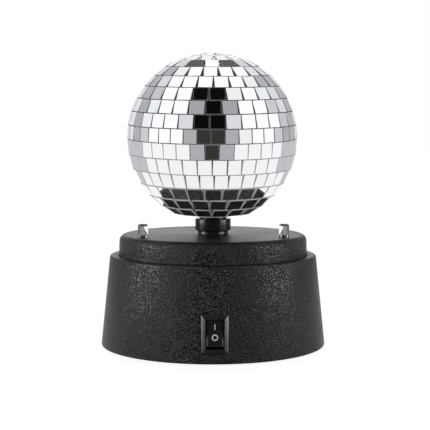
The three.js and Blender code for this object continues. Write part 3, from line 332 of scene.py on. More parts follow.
LAMP_PLACES = [on_circle(LAMP_CIRCLE, angle) for angle in (90, 210, 330)]
FOOT_PLACES = [on_circle(FOOT_CIRCLE, angle) for angle in (90, 210, 330)]
SCREW_PLACES = [on_circle(SCREW_CIRCLE, angle) for angle in (45, 135, 225, 315)]


# ------------------------------------------------------------------ materials


class Paint:
    """A Principled material and short calls to add nodes. Scales are features to the metre."""

    def __init__(self, name, colour, roughness, metallic=0.0, specular=0.5):
        self.material = bpy.data.materials.new(name)
        self.material.use_nodes = True
        self.tree = self.material.node_tree
        self.shader = self.tree.nodes["Principled BSDF"]
        self.set("Base Color", (*colour, 1))
        self.set("Roughness", roughness)
        self.set("Metallic", metallic)
        self.set("Specular IOR Level", specular)
        self.where = self.add("ShaderNodeTexCoord").outputs["Object"]

    def set(self, socket, value):
        self.shader.inputs[socket].default_value = value

    def add(self, kind, **values):
        node = self.tree.nodes.new(kind)
        for key, value in values.items():
            setattr(node, key, value)
        return node

    def link(self, output, socket):
        self.tree.links.new(output, socket)

    def noise(self, scale, detail=2.0, roughness=0.5, distortion=0.0):
        node = self.add("ShaderNodeTexNoise")
        node.inputs["Scale"].default_value = scale
        node.inputs["Detail"].default_value = detail
        node.inputs["Roughness"].default_value = roughness
        node.inputs["Distortion"].default_value = distortion
        self.link(self.where, node.inputs["Vector"])
        return node.outputs["Fac"]

    def cells(self, scale, where=None):
        """A pattern of cells; its Distance is 0 in the middle of each."""
        node = self.add("ShaderNodeTexVoronoi", feature="F1")
        node.inputs["Scale"].default_value = scale
        self.link(where or self.where, node.inputs["Vector"])
        return node

    def ranged(self, value, low, high, to_low, to_high):
        """A value stretched from one range to another and clamped."""
        node = self.add("ShaderNodeMapRange")
        for socket, number in zip(
            ("From Min", "From Max", "To Min", "To Max"), (low, high, to_low, to_high)
        ):
            node.inputs[socket].default_value = number
        self.link(value, node.inputs["Value"])
        return node.outputs["Result"]

    def math(self, operation, first, second):
        node = self.add("ShaderNodeMath", operation=operation)
        for socket, value in zip(node.inputs, (first, second)):
            if isinstance(value, (int, float)):
                socket.default_value = value
            else:
                self.link(value, socket)
        return node.outputs["Value"]

    def mixed(self, factor, first, second):
        node = self.add("ShaderNodeMix", data_type="RGBA")
        self.link(factor, node.inputs["Factor"])
        for socket, value in ((node.inputs["A"], first), (node.inputs["B"], second)):
            if isinstance(value, tuple):
                socket.default_value = (*value, 1)
            else:
                self.link(value, socket)
        return node.outputs["Result"]

    def bump(self, height, distance):
        """A relief whose full height is a distance in millimetres."""
        node = self.add("ShaderNodeBump")
        node.inputs["Distance"].default_value = distance * MM
        node.inputs["Strength"].default_value = 1.0
        self.link(height, node.inputs["Height"])
        return node.outputs["Normal"]

    def drive(self, socket, output):
        self.link(output, self.shader.inputs[socket])


PEBBLE_SCALE = 1700
HIDE_SCALE = 1500
GRAIN_WARP = 0.4  # millimetres by which the cells are pulled out of shape
GRAIN_DEPTH = 0.24
PEBBLE_SHARE = 0.35  # of the relief, on top of the hide


def leather_plastic():
    """Moulded black plastic with a pebbled grain about 0.6 mm across, its crowns the smoothest."""
    p = Paint("base_plastic", (0.012, 0.012, 0.0125), 0.3, specular=0.062)
    warp = p.add("ShaderNodeVectorMath", operation="MULTIPLY_ADD")
    noise = p.add("ShaderNodeTexNoise")
    noise.inputs["Scale"].default_value = 700
    p.link(p.where, noise.inputs["Vector"])
    p.link(noise.outputs["Color"], warp.inputs[0])
    warp.inputs[1].default_value = (GRAIN_WARP * MM,) * 3
    p.link(p.where, warp.inputs[2])
    where = warp.outputs["Vector"]
    pebbles = p.cells(PEBBLE_SCALE, where)
    crown = p.ranged(pebbles.outputs["Distance"], 0.12, 0.5, 1.0, 0.0)
    tall = p.add("ShaderNodeSeparateColor")
    p.link(pebbles.outputs["Color"], tall.inputs["Color"])
    crown = p.math("MULTIPLY", crown, p.ranged(tall.outputs["Red"], 0.1, 0.9, 0.3, 1.0))
    clumps = p.ranged(p.noise(330, 3, 0.65), 0.35, 0.62, 0.75, 1.0)
    crown = p.math("MULTIPLY", crown, clumps)
    hide = p.ranged(p.cells(HIDE_SCALE, where).outputs["Distance"], 0.1, 0.62, 1.0, 0.0)
    relief = p.math("ADD", hide, p.math("MULTIPLY", crown, PEBBLE_SHARE))
    p.drive("Normal", p.bump(relief, GRAIN_DEPTH))
    worn = p.ranged(p.noise(40, 4), 0.3, 0.7, -0.03, 0.03)
    p.drive("Roughness", p.math("ADD", p.ranged(crown, 0.0, 0.7, 0.32, 0.2), worn))
    p.drive("Base Color", p.mixed(crown, (0.0, 0.0, 0.0), (0.0003, 0.0003, 0.0003)))
    return p.material


def smooth_plastic(name, colour, roughness, scratches=0.01, specular=0.42):
    """Plain moulded plastic with faint haze, fine lines and a little dust."""
    p = Paint(name, colour, roughness, specular=specular)
    haze = p.noise(120, 4)
    lines = p.noise(1600, 2, distortion=0.4)
    p.drive("Roughness", p.ranged(haze, 0.3, 0.7, roughness * 0.8, roughness * 1.25))
    p.drive("Normal", p.bump(lines, scratches))
    dust = p.ranged(p.noise(3000, 1), 0.72, 0.8, 0.0, 0.15)
    p.drive("Base Color", p.mixed(dust, colour, tuple(min(1, c + 0.03) for c in colour)))
    return p.material


def mirror_face():
    """Silvered glass: near-perfect reflection with faint haze and float waves."""
    p = Paint("mirror_face", (0.85, 0.862, 0.875), 0.015, metallic=1.0)
    haze = p.noise(260, 4, 0.6)
    p.drive("Roughness", p.ranged(haze, 0.35, 0.75, 0.012, 0.06))
    p.drive("Normal", p.bump(p.noise(110, 1), 0.006))
    p.set("Coat Weight", 0.5)
    p.set("Coat Roughness", 0.02)
    return p.material


def mirror_edge():
    """Ground glass edge, grey with paler chips."""
    p = Paint("mirror_edge", (0.15, 0.17, 0.17), 0.3)
    chips = p.noise(2400, 3, 0.7)
    p.drive("Roughness", p.ranged(chips, 0.3, 0.7, 0.2, 0.45))
    p.drive("Normal", p.bump(chips, 0.03))
    p.drive("Base Color", p.mixed(p.noise(900, 2), (0.11, 0.12, 0.12), (0.36, 0.38, 0.38)))
    return p.material


def glue_and_painted_light_edge():
    """The low tiles' edges, silver with the glue that has run down to them, made paler as painted
    light where the joints show bright.
    """
    p = Paint("mirror_edge_glue_and_painted_light", (0.65, 0.65, 0.66), 0.2)
    runs = p.noise(1500, 3, 0.6)
    p.drive("Roughness", p.ranged(runs, 0.3, 0.7, 0.1, 0.35))
    p.drive("Normal", p.bump(runs, 0.05))
    p.drive("Base Color", p.mixed(runs, (0.45, 0.45, 0.46), (0.85, 0.85, 0.86)))
    return p.material


def mirror_back():
    p = Paint("mirror_back", (0.2, 0.2, 0.21), 0.6)
    p.drive("Base Color", p.mixed(p.noise(700, 3), (0.1, 0.1, 0.11), (0.3, 0.3, 0.31)))
    p.drive("Normal", p.bump(p.noise(1500, 2), 0.04))
    return p.material


def ball_plastic(name, dark, light):
    """Moulded plastic under the tiles with a film of clear glue on it."""
    p = Paint(name, dark, 0.4)
    glue = p.noise(500, 4, 0.6)
    p.drive("Base Color", p.mixed(glue, dark, light))
    p.drive("Roughness", p.ranged(glue, 0.3, 0.7, 0.2, 0.5))
    p.drive("Normal", p.bump(p.noise(900, 3), 0.08))
    return p.material


def clear_epoxy():
    """Water-clear cast epoxy."""
    p = Paint("clear_epoxy", (1, 1, 1), 0.02)
    p.set("Transmission Weight", 1.0)
    p.set("IOR", 1.5)
    p.drive("Roughness", p.ranged(p.noise(700, 3), 0.3, 0.7, 0.01, 0.06))
    p.drive("Normal", p.bump(p.noise(300, 2), 0.01))
    return p.material


def metal(name, colour, roughness, grain=900):
    p = Paint(name, colour, roughness, metallic=1.0)
    streaks = p.noise(grain, 3, 0.6, 0.3)
    p.drive("Roughness", p.ranged(streaks, 0.3, 0.7, roughness * 0.6, roughness * 1.5))
    p.drive("Normal", p.bump(streaks, 0.008))
    tarnish = p.ranged(p.noise(60, 4), 0.4, 0.75, 0.0, 0.5)
    p.drive("Base Color", p.mixed(tarnish, colour, tuple(0.6 * c for c in colour)))
    return p.material


def rubber():
    p = Paint("rubber", (0.013, 0.013, 0.013), 0.8, specular=0.3)
    p.drive("Normal", p.bump(p.noise(2200, 3), 0.03))
    dust = p.ranged(p.noise(250, 5), 0.5, 0.8, 0.0, 0.6)
    p.drive("Base Color", p.mixed(dust, (0.012, 0.012, 0.012), (0.05, 0.048, 0.045)))
    return p.material


def marking_ink():
    p = Paint("marking_ink", (0.07, 0.07, 0.07), 0.5)
    p.drive("Base Color", p.mixed(p.noise(1800, 3), (0.05, 0.05, 0.05), (0.08, 0.08, 0.08)))
    p.drive("Normal", p.bump(p.noise(2500, 2), 0.01))
    return p.material


def circuit_board():
    p = Paint("circuit_board", (0.02, 0.13, 0.06), 0.35)
    traces = p.cells(220).outputs["Distance"]
    p.drive(
        "Base Color",
        p.mixed(p.ranged(traces, 0.2, 0.25, 0.0, 1.0), (0.03, 0.2, 0.09), (0.015, 0.1, 0.05)),
    )
    p.drive("Normal", p.bump(traces, 0.03))
    return p.material


def nylon(name, colour):
    p = Paint(name, colour, 0.45)
    p.drive("Roughness", p.ranged(p.noise(150, 4), 0.3, 0.7, 0.38, 0.55))
    p.drive("Normal", p.bump(p.noise(1500, 2), 0.01))
    p.drive("Base Color", p.mixed(p.noise(70, 3), colour, tuple(0.8 * c for c in colour)))
    p.set("Subsurface Weight", 0.1)
    return p.material


def cell_sleeve():
    p = Paint("cell_sleeve", (0.1, 0.13, 0.2), 0.3, metallic=0.4)
    p.drive("Base Color", p.mixed(p.noise(90, 4), (0.09, 0.12, 0.19), (0.14, 0.17, 0.25)))
    p.drive("Roughness", p.ranged(p.noise(400, 4), 0.3, 0.7, 0.22, 0.42))
    return p.material


GRAIN = leather_plastic()
GLOSS = smooth_plastic("neck_plastic", (0.002, 0.002, 0.0022), 0.2, 0.004, 0.045)
SWITCH_SATIN = smooth_plastic("switch_plastic", (0.0015, 0.0015, 0.0016), 0.3, 0.02, 0.09)
# A paler copy of the switch plastic for the bezel's sideways slopes: painted light from the side
# softboxes.
BEZEL_PAINTED_SIDE_LIGHT = smooth_plastic("bezel_painted_side_light", (0.005, 0.005, 0.0052), 0.36, 0.02, 0.1)
PIT = smooth_plastic("switch_inside", (0.003, 0.003, 0.003), 0.5)
MIRROR = mirror_face()
GLASS_EDGE = mirror_edge()
GLUE_AND_PAINTED_LIGHT_EDGE = glue_and_painted_light_edge()
GLASS_BACK = mirror_back()
BALL_PLASTIC = ball_plastic("ball_plastic", (0.12, 0.12, 0.125), (0.3, 0.3, 0.31))
# White glue under the polar courses, partly painted light: the wide joints there are painted
# bright.
BALL_GLUE_AND_PAINTED_LIGHT = ball_plastic("ball_glue_and_painted_light", (0.85, 0.85, 0.86), (1.0, 1.0, 1.0))
EPOXY = clear_epoxy()
STEEL = metal("steel", (0.62, 0.63, 0.64), 0.28)
LEAD_STEEL = metal("lead_steel", (0.6, 0.6, 0.61), 0.3)
BRASS = metal("brass", (0.72, 0.53, 0.24), 0.3)
RUBBER = rubber()
INK = marking_ink()
BOARD = circuit_board()
GEAR_NYLON = nylon("gear_nylon", (0.78, 0.75, 0.66))
GEARBOX = nylon("gearbox_plastic", (0.28, 0.29, 0.31))
SLEEVE = cell_sleeve()
RED_WIRE = smooth_plastic("wire_red", (0.45, 0.02, 0.02), 0.35)
BLACK_WIRE = smooth_plastic("wire_black", (0.012, 0.012, 0.012), 0.35)
CHIP = smooth_plastic("lamp_chip", (0.5, 0.42, 0.12), 0.5)

SLOT_MATERIALS = {
    "base_plastic": GRAIN,
    "neck_plastic": GLOSS,
    "ball_plastic": BALL_PLASTIC,
    "mirror_glass": MIRROR,
    "clear_lens": EPOXY,
    "circuit_board": BOARD,
    "steel": STEEL,
    "brass": BRASS,
    "gear_nylon": GEAR_NYLON,
    "gearbox_plastic": GEARBOX,
    "rubber": RUBBER,
    "cell_sleeve": SLEEVE,
    "wire_red": RED_WIRE,
    "wire_black": BLACK_WIRE,
}


SLOTS = {part["node"]: part["material_slot"] for part in frame["record"]["subparts"]}


def dress_cad_nodes():
    for node, slot in SLOTS.items():
        obj = frame["nodes"][node]
        obj.data.materials.clear()
        obj.data.materials.append(SLOT_MATERIALS[slot])


def settle(obj, body, slot, *nodes):
    """Rides a piece on a body and lets it stand for CAD nodes. Its slot is not used."""
    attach(obj, body)
    if nodes:
        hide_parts(*nodes)
    return obj


# ------------------------------------------------------------------ base


def wall_radius(height):
    return BASE_RADIUS - DRAFT * (height - FLOOR_EDGE)


SWITCH_FRAME = (
    Matrix.Translation((0, -wall_radius(FLOOR_EDGE + SWITCH_HEIGHT), FLOOR_EDGE + SWITCH_HEIGHT))
    @ Matrix.Rotation(-WALL_TILT, 4, "X")
)


def switch_block(width, length, front, back):
    return block(
        (-width / 2, front, -length / 2), (width / 2, back, length / 2), SWITCH_FRAME
    )


def base_shell():
    shelf_bottom = GROOVE_FLOOR - SHELF_THICKNESS
    inner = wall_radius(shelf_bottom) - WALL
    tilt = math.degrees(WALL_TILT)
    profile = [(BASE_RADIUS - WALL, FLOOR_EDGE)]
    profile += arc(
        BASE_RADIUS - BASE_FOOT_ROUND, FLOOR_EDGE + BASE_FOOT_ROUND, BASE_FOOT_ROUND, -90, 0, 5
    )
    profile += arc(
        LEDGE_RADIUS - BASE_TOP_ROUND, LEDGE - BASE_TOP_ROUND, BASE_TOP_ROUND, tilt, 90, 8
    )
    lip = GROOVE_LIP_ROUND
    profile += arc(GROOVE_RADIUS + lip, LEDGE - lip, lip, 90, 180, 3)
    profile += [
        (GROOVE_RADIUS, GROOVE_FLOOR),
        (SHELF_RADIUS, GROOVE_FLOOR),
        (SHELF_RADIUS, shelf_bottom),
        (inner, shelf_bottom),
    ]
    shell = make_object("base_shell_moulding", turned(profile), [GRAIN])
    columns = bmesh.new()
    for x, y in SCREW_PLACES:
        column_top = shelf_bottom + SHELF_THICKNESS / 2
        rod(x, y, SCREW_COLUMN_RADIUS, SCREW_COLUMN_BOTTOM, column_top, HOLE_ROUND, columns)
    combine(shell, columns, "UNION")
    outside, inside = -3, 5
    seat_size = [side + 2 * FIT_GAP for side in BEZEL_SIZE]
    combine(shell, switch_block(*seat_size, outside, SEAT_DEPTH), "DIFFERENCE")
    opening_size = [side + 2 * FIT_GAP for side in SWITCH_BODY[:2]]
    combine(shell, switch_block(*opening_size, outside, inside), "DIFFERENCE")
    holes = bmesh.new()
    for x, y in SCREW_PLACES:
        rod(x, y, SCREW_HOLE_RADIUS, 0, LEDGE, HOLE_ROUND, holes)
    combine(shell, holes, "DIFFERENCE")
    return settle(shell, "base", "base_plastic", "base_shell")


def top_cover():
    underside = TIER_TOP - TIER_WALL
    fillet_height = TIER_TOP - TIER_FILLET
    fillet_radius = TIER_RADIUS - (fillet_height - LEDGE) * math.tan(TIER_DRAFT)
    low = GROOVE_FLOOR + FIT_GAP
    fillet, edge = NECK_RING_FILLET, NECK_RING_EDGE
    profile = [(TIER_RADIUS - TIER_WALL, low), (TIER_RADIUS, low), (TIER_RADIUS, LEDGE)]
    shoulder = fillet_radius - TIER_FILLET
    profile += arc(shoulder, fillet_height, TIER_FILLET, TIER_DRAFT_DEGREES, 90, 12)
    profile += arc(NECK_RING_RADIUS + fillet, TIER_TOP + fillet, fillet, 270, 180, 4)
    profile += arc(NECK_RING_RADIUS - edge, NECK_TOP - edge, edge, 0, 90, 4)
    profile += [
        (BUSH_HOLE_RADIUS, NECK_TOP),
        (BUSH_HOLE_RADIUS, underside - BUSH_HOUSING_DROP),
        (BUSH_HOUSING_RADIUS, underside - BUSH_HOUSING_DROP),
        (BUSH_HOUSING_RADIUS, underside),
        (shoulder, underside),
        (fillet_radius - TIER_WALL, fillet_height),
    ]
    cover = make_object("top_cover_moulding", turned(profile), [GRAIN, GLOSS])
    bosses = bmesh.new()
    for x, y in SCREW_PLACES:
        rod(x, y, SCREW_COLUMN_RADIUS, low, underside + EXTRA, HOLE_ROUND, bosses)
    combine(cover, bosses, "UNION")
    holes = bmesh.new()
    for x, y in LAMP_PLACES:
        rod(x, y, LAMP_RADIUS + FIT_GAP, underside - EXTRA, TIER_TOP + EXTRA, ROUND, holes)
    for x, y in SCREW_PLACES:
        hole_top = GROOVE_FLOOR + SCREW_BITE
        rod(x, y, SCREW_HOLE_RADIUS, GROOVE_FLOOR - EXTRA, hole_top, HOLE_ROUND, holes)
    combine(cover, holes, "DIFFERENCE")
    for face in cover.data.polygons:
        radius = math.hypot(face.center.x, face.center.y) / MM
        above_top = face.center.z / MM > TIER_TOP + TOUCH
        on_ring = radius < NECK_RING_RADIUS + fillet and above_top
        face.material_index = 1 if on_ring else 0
    return settle(cover, "base", "base_plastic", "top_cover")


# ------------------------------------------------------------------ ball


def tile_mesh(bm, width, height, place):
    """One glass tile: a flat silvered front with ground edges. place takes x east, y north and
    z outwards to the ball's own frame."""
    levels = (
        (width / 2 - TILE_GRIND, height / 2 - TILE_GRIND, 0),
        (width / 2, height / 2, -TILE_GRIND),
        (width / 2, height / 2, -GLASS),
    )
    rings = []
    for half_width, half_height, out in levels:
        corners = ((-1, -1), (1, -1), (1, 1), (-1, 1))
        rings.append(
            [
                bm.verts.new(place @ Vector((east * half_width, north * half_height, out)))
                for east, north in corners
            ]
        )
    front = bm.faces.new(rings[0])
    front.material_index = 0
    for upper, lower in zip(rings, rings[1:]):
        for side in range(4):
            after = (side + 1) % 4
            face = bm.faces.new((upper[side], lower[side], lower[after], upper[after]))
            face.material_index = 1
    back = bm.faces.new(rings[2][::-1])
    back.material_index = 2


def tile_place(latitude, longitude, distance):
    """From a tile's frame to the row frame: longitude 0 faces the switch side."""
    out = Vector(
        (
            math.sin(longitude) * math.cos(latitude),
            -math.cos(longitude) * math.cos(latitude),
            math.sin(latitude),
        )
    )
    east = Vector((math.cos(longitude), math.sin(longitude), 0))
    north = out.cross(east)
    turn = Matrix((east, north, out)).transposed().to_4x4()
    jitter = Matrix()
    for axis, spread in TILE_TILTS:
        jitter = jitter @ Matrix.Rotation(math.radians(RNG.gauss(0, spread)), 4, axis)
    centre = Matrix.Translation((BALL_SHIFT, 0, BALL_CENTRE))
    lean = Matrix.Rotation(COURSE_LEAN, 4, "X")
    return centre @ lean @ Matrix.Translation(out * distance) @ turn @ jitter


def mirror_course(name, tiles, turn, near, far, side):
    """One course of tiles between two latitudes, near and far from the equator."""
    ordinary = len(LOWER_COURSES) - LOWEST_COURSES
    lowest = side < 0 and near > (ordinary - 0.5) * LOWER_PITCH
    half_gap = (LOWEST_GAP if lowest else COURSE_GAP) / 2 / BALL_RADIUS
    middle = side * (near + far) / 2
    height = 2 * BALL_RADIUS * math.sin((far - near) / 2 - half_gap)
    pole_side = max(abs(near), abs(far)) - half_gap
    width = 2 * BALL_RADIUS * math.cos(pole_side) * math.tan(math.pi / tiles) - TILE_GAP
    corner = POLAR_CORNER_RADIUS if middle > POLAR_LATITUDE else TILE_CORNER_RADIUS
    distance = math.sqrt(corner**2 - (width / 2) ** 2 - (height / 2) ** 2)
    bm = bmesh.new()
    for tile in range(tiles):
        longitude = (tile + 0.5 + turn) * 2 * math.pi / tiles
        tile_width = width - abs(RNG.gauss(0, TILE_WIDTH_SPREAD))
        tile_mesh(bm, tile_width, height, tile_place(middle, longitude, distance))
    # Edges of the lowest and topmost courses take the pale material: glue, with painted light.
    glue_and_light_edged = side < 0 or near > GLUE_AND_PAINTED_LIGHT_UPPER_COURSE * UPPER_PITCH
    edge = GLUE_AND_PAINTED_LIGHT_EDGE if glue_and_light_edged else GLASS_EDGE
    return make_object(name + "_tiles", bm, [MIRROR, edge, GLASS_BACK])


def mirrors():
    groups = (
        ("mirror_row_upper", UPPER_COURSES, UPPER_PITCH, 1),
        ("mirror_row_lower", LOWER_COURSES, LOWER_PITCH, -1),
    )
    for prefix, courses, pitch, side in groups:
        for index, (tiles, turn) in enumerate(courses):
            node = f"{prefix}_{index + 1}"
            course = mirror_course(node, tiles, turn, index * pitch, (index + 1) * pitch, side)
            settle(course, "ball", "mirror_glass", node)
    cap_angle = len(UPPER_COURSES) * UPPER_PITCH
    bm = bmesh.new()
    radius = BALL_RADIUS * math.cos(cap_angle) - COURSE_GAP
    side = radius * math.sqrt(2) * CAP_SHARE
    cap_height = BALL_RADIUS * math.sin(cap_angle)
    tile_mesh(bm, side, side, tile_place(math.pi / 2, CAP_TURN, cap_height))
    cap = make_object("mirror_cap_tile", bm, [MIRROR, GLASS_EDGE, GLASS_BACK])
    settle(cap, "ball", "mirror_glass", "mirror_cap")


def ball_shell():
    inner = BALL_SHELL_RADIUS - BALL_WALL
    hole = COLLAR_SPIGOT_RADIUS + FIT_GAP
    seam, steps = 0.2, 24
    upper = arc(0, BALL_CENTRE, inner, 90, seam, steps)
    upper += arc(0, BALL_CENTRE, BALL_SHELL_RADIUS, seam, 90, steps)
    upper = [(0 if radius < 1e-6 else radius, height) for radius, height in upper]
    materials = [BALL_PLASTIC, BALL_GLUE_AND_PAINTED_LIGHT]
    top = make_object("ball_shell_upper_moulding", turned(upper, BALL_ROUND), materials)
    glue_and_painted_light_ends(top)
    settle(top, "ball", "ball_plastic", "ball_shell_upper")
    outside = -math.degrees(math.acos(hole / BALL_SHELL_RADIUS))
    inside = -math.degrees(math.acos(hole / inner))
    lower = arc(0, BALL_CENTRE, BALL_SHELL_RADIUS, outside, -seam, steps)
    lower += arc(0, BALL_CENTRE, inner, -seam, inside, steps)
    bottom = make_object("ball_shell_lower_moulding", turned(lower, BALL_ROUND), materials)
    glue_and_painted_light_ends(bottom)
    settle(bottom, "ball", "ball_plastic", "ball_shell_lower")


def glue_and_painted_light_ends(obj):
    """White under the courses near the poles, where the joints are wide: glue, with painted light
    where the joints show bright.
    """
    for face in obj.data.polygons:
        latitude = math.degrees(math.asin((face.center.z / MM - BALL_CENTRE) / BALL_SHELL_RADIUS))
        face.material_index = 0 if GLUE_AND_LIGHT_BELOW <= latitude <= GLUE_AND_LIGHT_ABOVE else 1


def collar():
    bore, foot_round, rim_round, rim_drop = 2.3, 0.5, 0.4, 0.3
    top, foot = COLLAR_HIGH.z, COLLAR_LOW.z + foot_round
    rim = COLLAR_SHOULDER - rim_drop
    profile = [(0, top - BALL_WALL), (bore, top - BALL_WALL), (bore, COLLAR_LOW.z)]
    profile += arc(COLLAR_RADIUS - foot_round, foot, foot_round, -90, 0, 5)
    profile += arc(COLLAR_RADIUS - rim_round, rim - rim_round, rim_round, 0, 90, 5)
    profile += [(COLLAR_SPIGOT_RADIUS, rim), (COLLAR_SPIGOT_RADIUS, top), (0, top)]
    obj = make_object("ball_collar_moulding", turned(profile, BALL_ROUND), [GLOSS])
    settle(obj, "ball", "neck_plastic", "ball_collar")


# ------------------------------------------------------------------ switch


def bezel_block():
    """The switch's bezel, with its sides sloping in to a smaller front."""
    bm = bmesh.new()
    points = []
    for depth, inset in ((BEZEL_BACK, 0), (BEZEL_EDGE_FRONT, 0), (BEZEL_FRONT, BEZEL_BEVEL)):
        half_width, half_length = BEZEL_SIZE[0] / 2 - inset, BEZEL_SIZE[1] / 2 - inset
        corners = ((-1, -1), (1, -1), (1, 1), (-1, 1))
        points.append(
            [
                bm.verts.new(SWITCH_FRAME @ Vector((x * half_width, depth, z * half_length)))
                for x, z in corners
            ]
        )
    bm.faces.new(points[0])
    bm.faces.new(points[-1][::-1])
    for ring, following in zip(points, points[1:]):
        for side in range(4):
            after = (side + 1) % 4
            bm.faces.new((ring[side], ring[after], following[after], following[side]))
    return bm


TERMINAL_SPACING = 6.8
TERMINAL_SIZE = (0.8, 6.0, 4.8)  # thickness, how far it stands out, and width


def switch_housing():
    bezel = bevelled(bezel_block(), 0.12, 2, 20)
    housing = make_object("switch_housing_moulding", bezel, [SWITCH_SATIN, BEZEL_PAINTED_SIDE_LIGHT])
    back, weld, in_front = BEZEL_BACK + SWITCH_BODY[2], 0.25, -5
    combine(housing, switch_block(*SWITCH_BODY[:2], BEZEL_BACK - weld, back), "UNION")
    combine(housing, switch_block(*PIT_SIZE, in_front, PIT_DEPTH), "DIFFERENCE")
    terminals = bmesh.new()
    thickness, length, width = TERMINAL_SIZE
    for side in (-1, 1):
        middle = side * TERMINAL_SPACING / 2
        low = (middle - thickness / 2, back - 2 * weld, -width / 2)
        high = (middle + thickness / 2, back + length, width / 2)
        block(low, high, SWITCH_FRAME, terminals)
    combine(housing, terminals, "UNION")
    # Faces sloping sideways take the paler copy, painted light from the sides; the top and bottom
    # slopes keep the darker switch plastic.
    for face in housing.data.polygons:
        painted_lit_side = 0.3 < abs(face.normal.x) < 0.9
        face.material_index = 1 if painted_lit_side else 0
    settle(housing, "base", "neck_plastic", "switch_housing")


ROCKER_DISH = 3.6  # from the pivot to the middle of the rocker's front
ROCKER_RISE = 1.0  # how much further out its ends stand
ROCKER_HALF = 7.2
ROCKER_FRAME = (
    SWITCH_FRAME @ Matrix.Translation((0, ROCKER_PIVOT, 0)) @ Matrix.Rotation(ROCKER_TILT, 4, "X")
)


def rocker():
    """A block rounded at its edges, with a dished front and a foot that narrows to its pivot."""
    outline = [
        (-3.6, 0), (-3.72, -2.4), (-4.05, -4.8), (-4.6, -7.2), (0, -7.6), (2.4, -3),
        (2.4, 3), (0, 7.6), (-4.6, 7.2), (-4.05, 4.8), (-3.72, 2.4),
    ]
    bm = prism(outline, -ROCKER_WIDTH / 2, ROCKER_WIDTH / 2)
    bevelled(bm, 0.35, 3, 40)
    stand = Matrix(((0, 0, 1, 0), (1, 0, 0, 0), (0, 1, 0, 0), (0, 0, 0, 1)))
    bmesh.ops.transform(bm, matrix=ROCKER_FRAME @ stand, verts=bm.verts)
    obj = make_object("switch_rocker_moulding", bm, [SWITCH_SATIN])
    settle(obj, "rocker", "neck_plastic", "switch_rocker")


def rocker_face(height):
    """Depth of the rocker's front at a height along it."""
    return -ROCKER_DISH - ROCKER_RISE * (abs(height) / ROCKER_HALF) ** 1.6


def switch_marks():
    """The bar and the ring printed on the rocker, as thin pads."""
    bm = bmesh.new()
    low, high, half = 2.0, 5.1, 0.27
    pad(bm, [(-half, low), (half, low), (half, high), (-half, high)])
    ring_middle, outer, inner, sides = -2.15, 1.72, 1.12, 32
    for side in range(sides):
        first = 2 * math.pi * side / sides
        second = 2 * math.pi * (side + 1) / sides
        pad(
            bm,
            [
                (outer * math.cos(first), ring_middle + outer * math.sin(first)),
                (outer * math.cos(second), ring_middle + outer * math.sin(second)),
                (inner * math.cos(second), ring_middle + inner * math.sin(second)),
                (inner * math.cos(first), ring_middle + inner * math.sin(first)),
            ],
        )
    bmesh.ops.remove_doubles(bm, verts=bm.verts, dist=1e-4)
    bmesh.ops.transform(bm, matrix=ROCKER_FRAME, verts=bm.verts)
    obj = make_object("switch_marks", bm, [INK])
    settle(obj, "rocker", "neck_plastic")


def pad(bm, points):
    """A thin closed pad on the rocker's front over a four-cornered patch of it."""
    thickness = 0.06
    outer = [bm.verts.new((x, rocker_face(z) - thickness, z)) for x, z in points]
    inner = [bm.verts.new((x, rocker_face(z) + thickness, z)) for x, z in points]
    bm.faces.new(outer)
    bm.faces.new(inner[::-1])
    for side in range(4):
        after = (side + 1) % 4
        bm.faces.new((outer[side], inner[side], inner[after], outer[after]))


# ------------------------------------------------------------------ lamps


LAMP_FLANGE_RADIUS = 3.5
LAMP_FLANGE_HEIGHT = 0.7
LAMP_CROWN = 1.5  # the round of the lens's top edge
LAMP_DOME = 0.3  # the lens's top above the CAD piece's
# Left and right faces, half thickness and top above the cover of the two legs.
LAMP_LEGS = ((-1.75, -1.45, 0.2, 1.6), (1.15, 1.5, 0.25, 1.5))
# Radius and height above the cover of the cup's outline.
LAMP_CUP = ((0, 1.05), (1.0, 1.05), (1.35, 1.6), (1.2, 1.6), (0.85, 1.25), (0, 1.25))
LAMP_CUP_SHIFT = 0.1
# Low and high corners; heights are above the cover.
LAMP_CHIP = ((-0.1, -0.2, 1.26), (0.3, 0.2, 1.45))
LAMP_STOP = ((-0.95, -0.6), (0.8, 0.6))
LAMP_STOP_TOP = 0.85


def lamp(node, x, y):
    """A clear lamp: its lens, the two legs of its lead frame, the chip in its cup and the dark
    block that holds the legs."""
    low, high = node_box(node)
    top, bottom = high.z + LAMP_DOME, low.z
    flange, crown = bottom + LAMP_FLANGE_HEIGHT, LAMP_CROWN
    lens = [(0, bottom), (LAMP_FLANGE_RADIUS, bottom)]
    lens += [(LAMP_FLANGE_RADIUS, flange), (LAMP_RADIUS, flange)]
    lens += arc(LAMP_RADIUS - crown, top - crown, crown, 0, 80, 8)
    lens += [(0, top)]
    obj = make_object(node + "_lens", turned(lens, ROUND, place=(x, y, 0)), [EPOXY])
    settle(obj, "base", "clear_lens", node)
    inside = bmesh.new()
    deck, leg_bottom, stop_bottom = TIER_TOP, bottom + 0.1, bottom + 0.2
    for left, right, half, leg_top in LAMP_LEGS:
        block((x + left, y - half, leg_bottom), (x + right, y + half, deck + leg_top), bm=inside)
    cup = [(radius, deck + height) for radius, height in LAMP_CUP]
    turned(cup, HOLE_ROUND, inside, (x + LAMP_CUP_SHIFT, y, 0))
    bevelled(inside, 0.08, 2, 50)
    settle(make_object(node + "_leads", inside, [LEAD_STEEL]), "base", "steel")
    chip = block(*((x + east, y + north, deck + up) for east, north, up in LAMP_CHIP))
    settle(make_object(node + "_chip", chip, [CHIP]), "base", "steel")
    (left, near), (right, far) = LAMP_STOP
    stop = block((x + left, y + near, stop_bottom), (x + right, y + far, deck + LAMP_STOP_TOP))
    settle(make_object(node + "_stop", bevelled(stop, 0.15, 2), [PIT]), "base", "neck_plastic")


# ------------------------------------------------------------------ underside


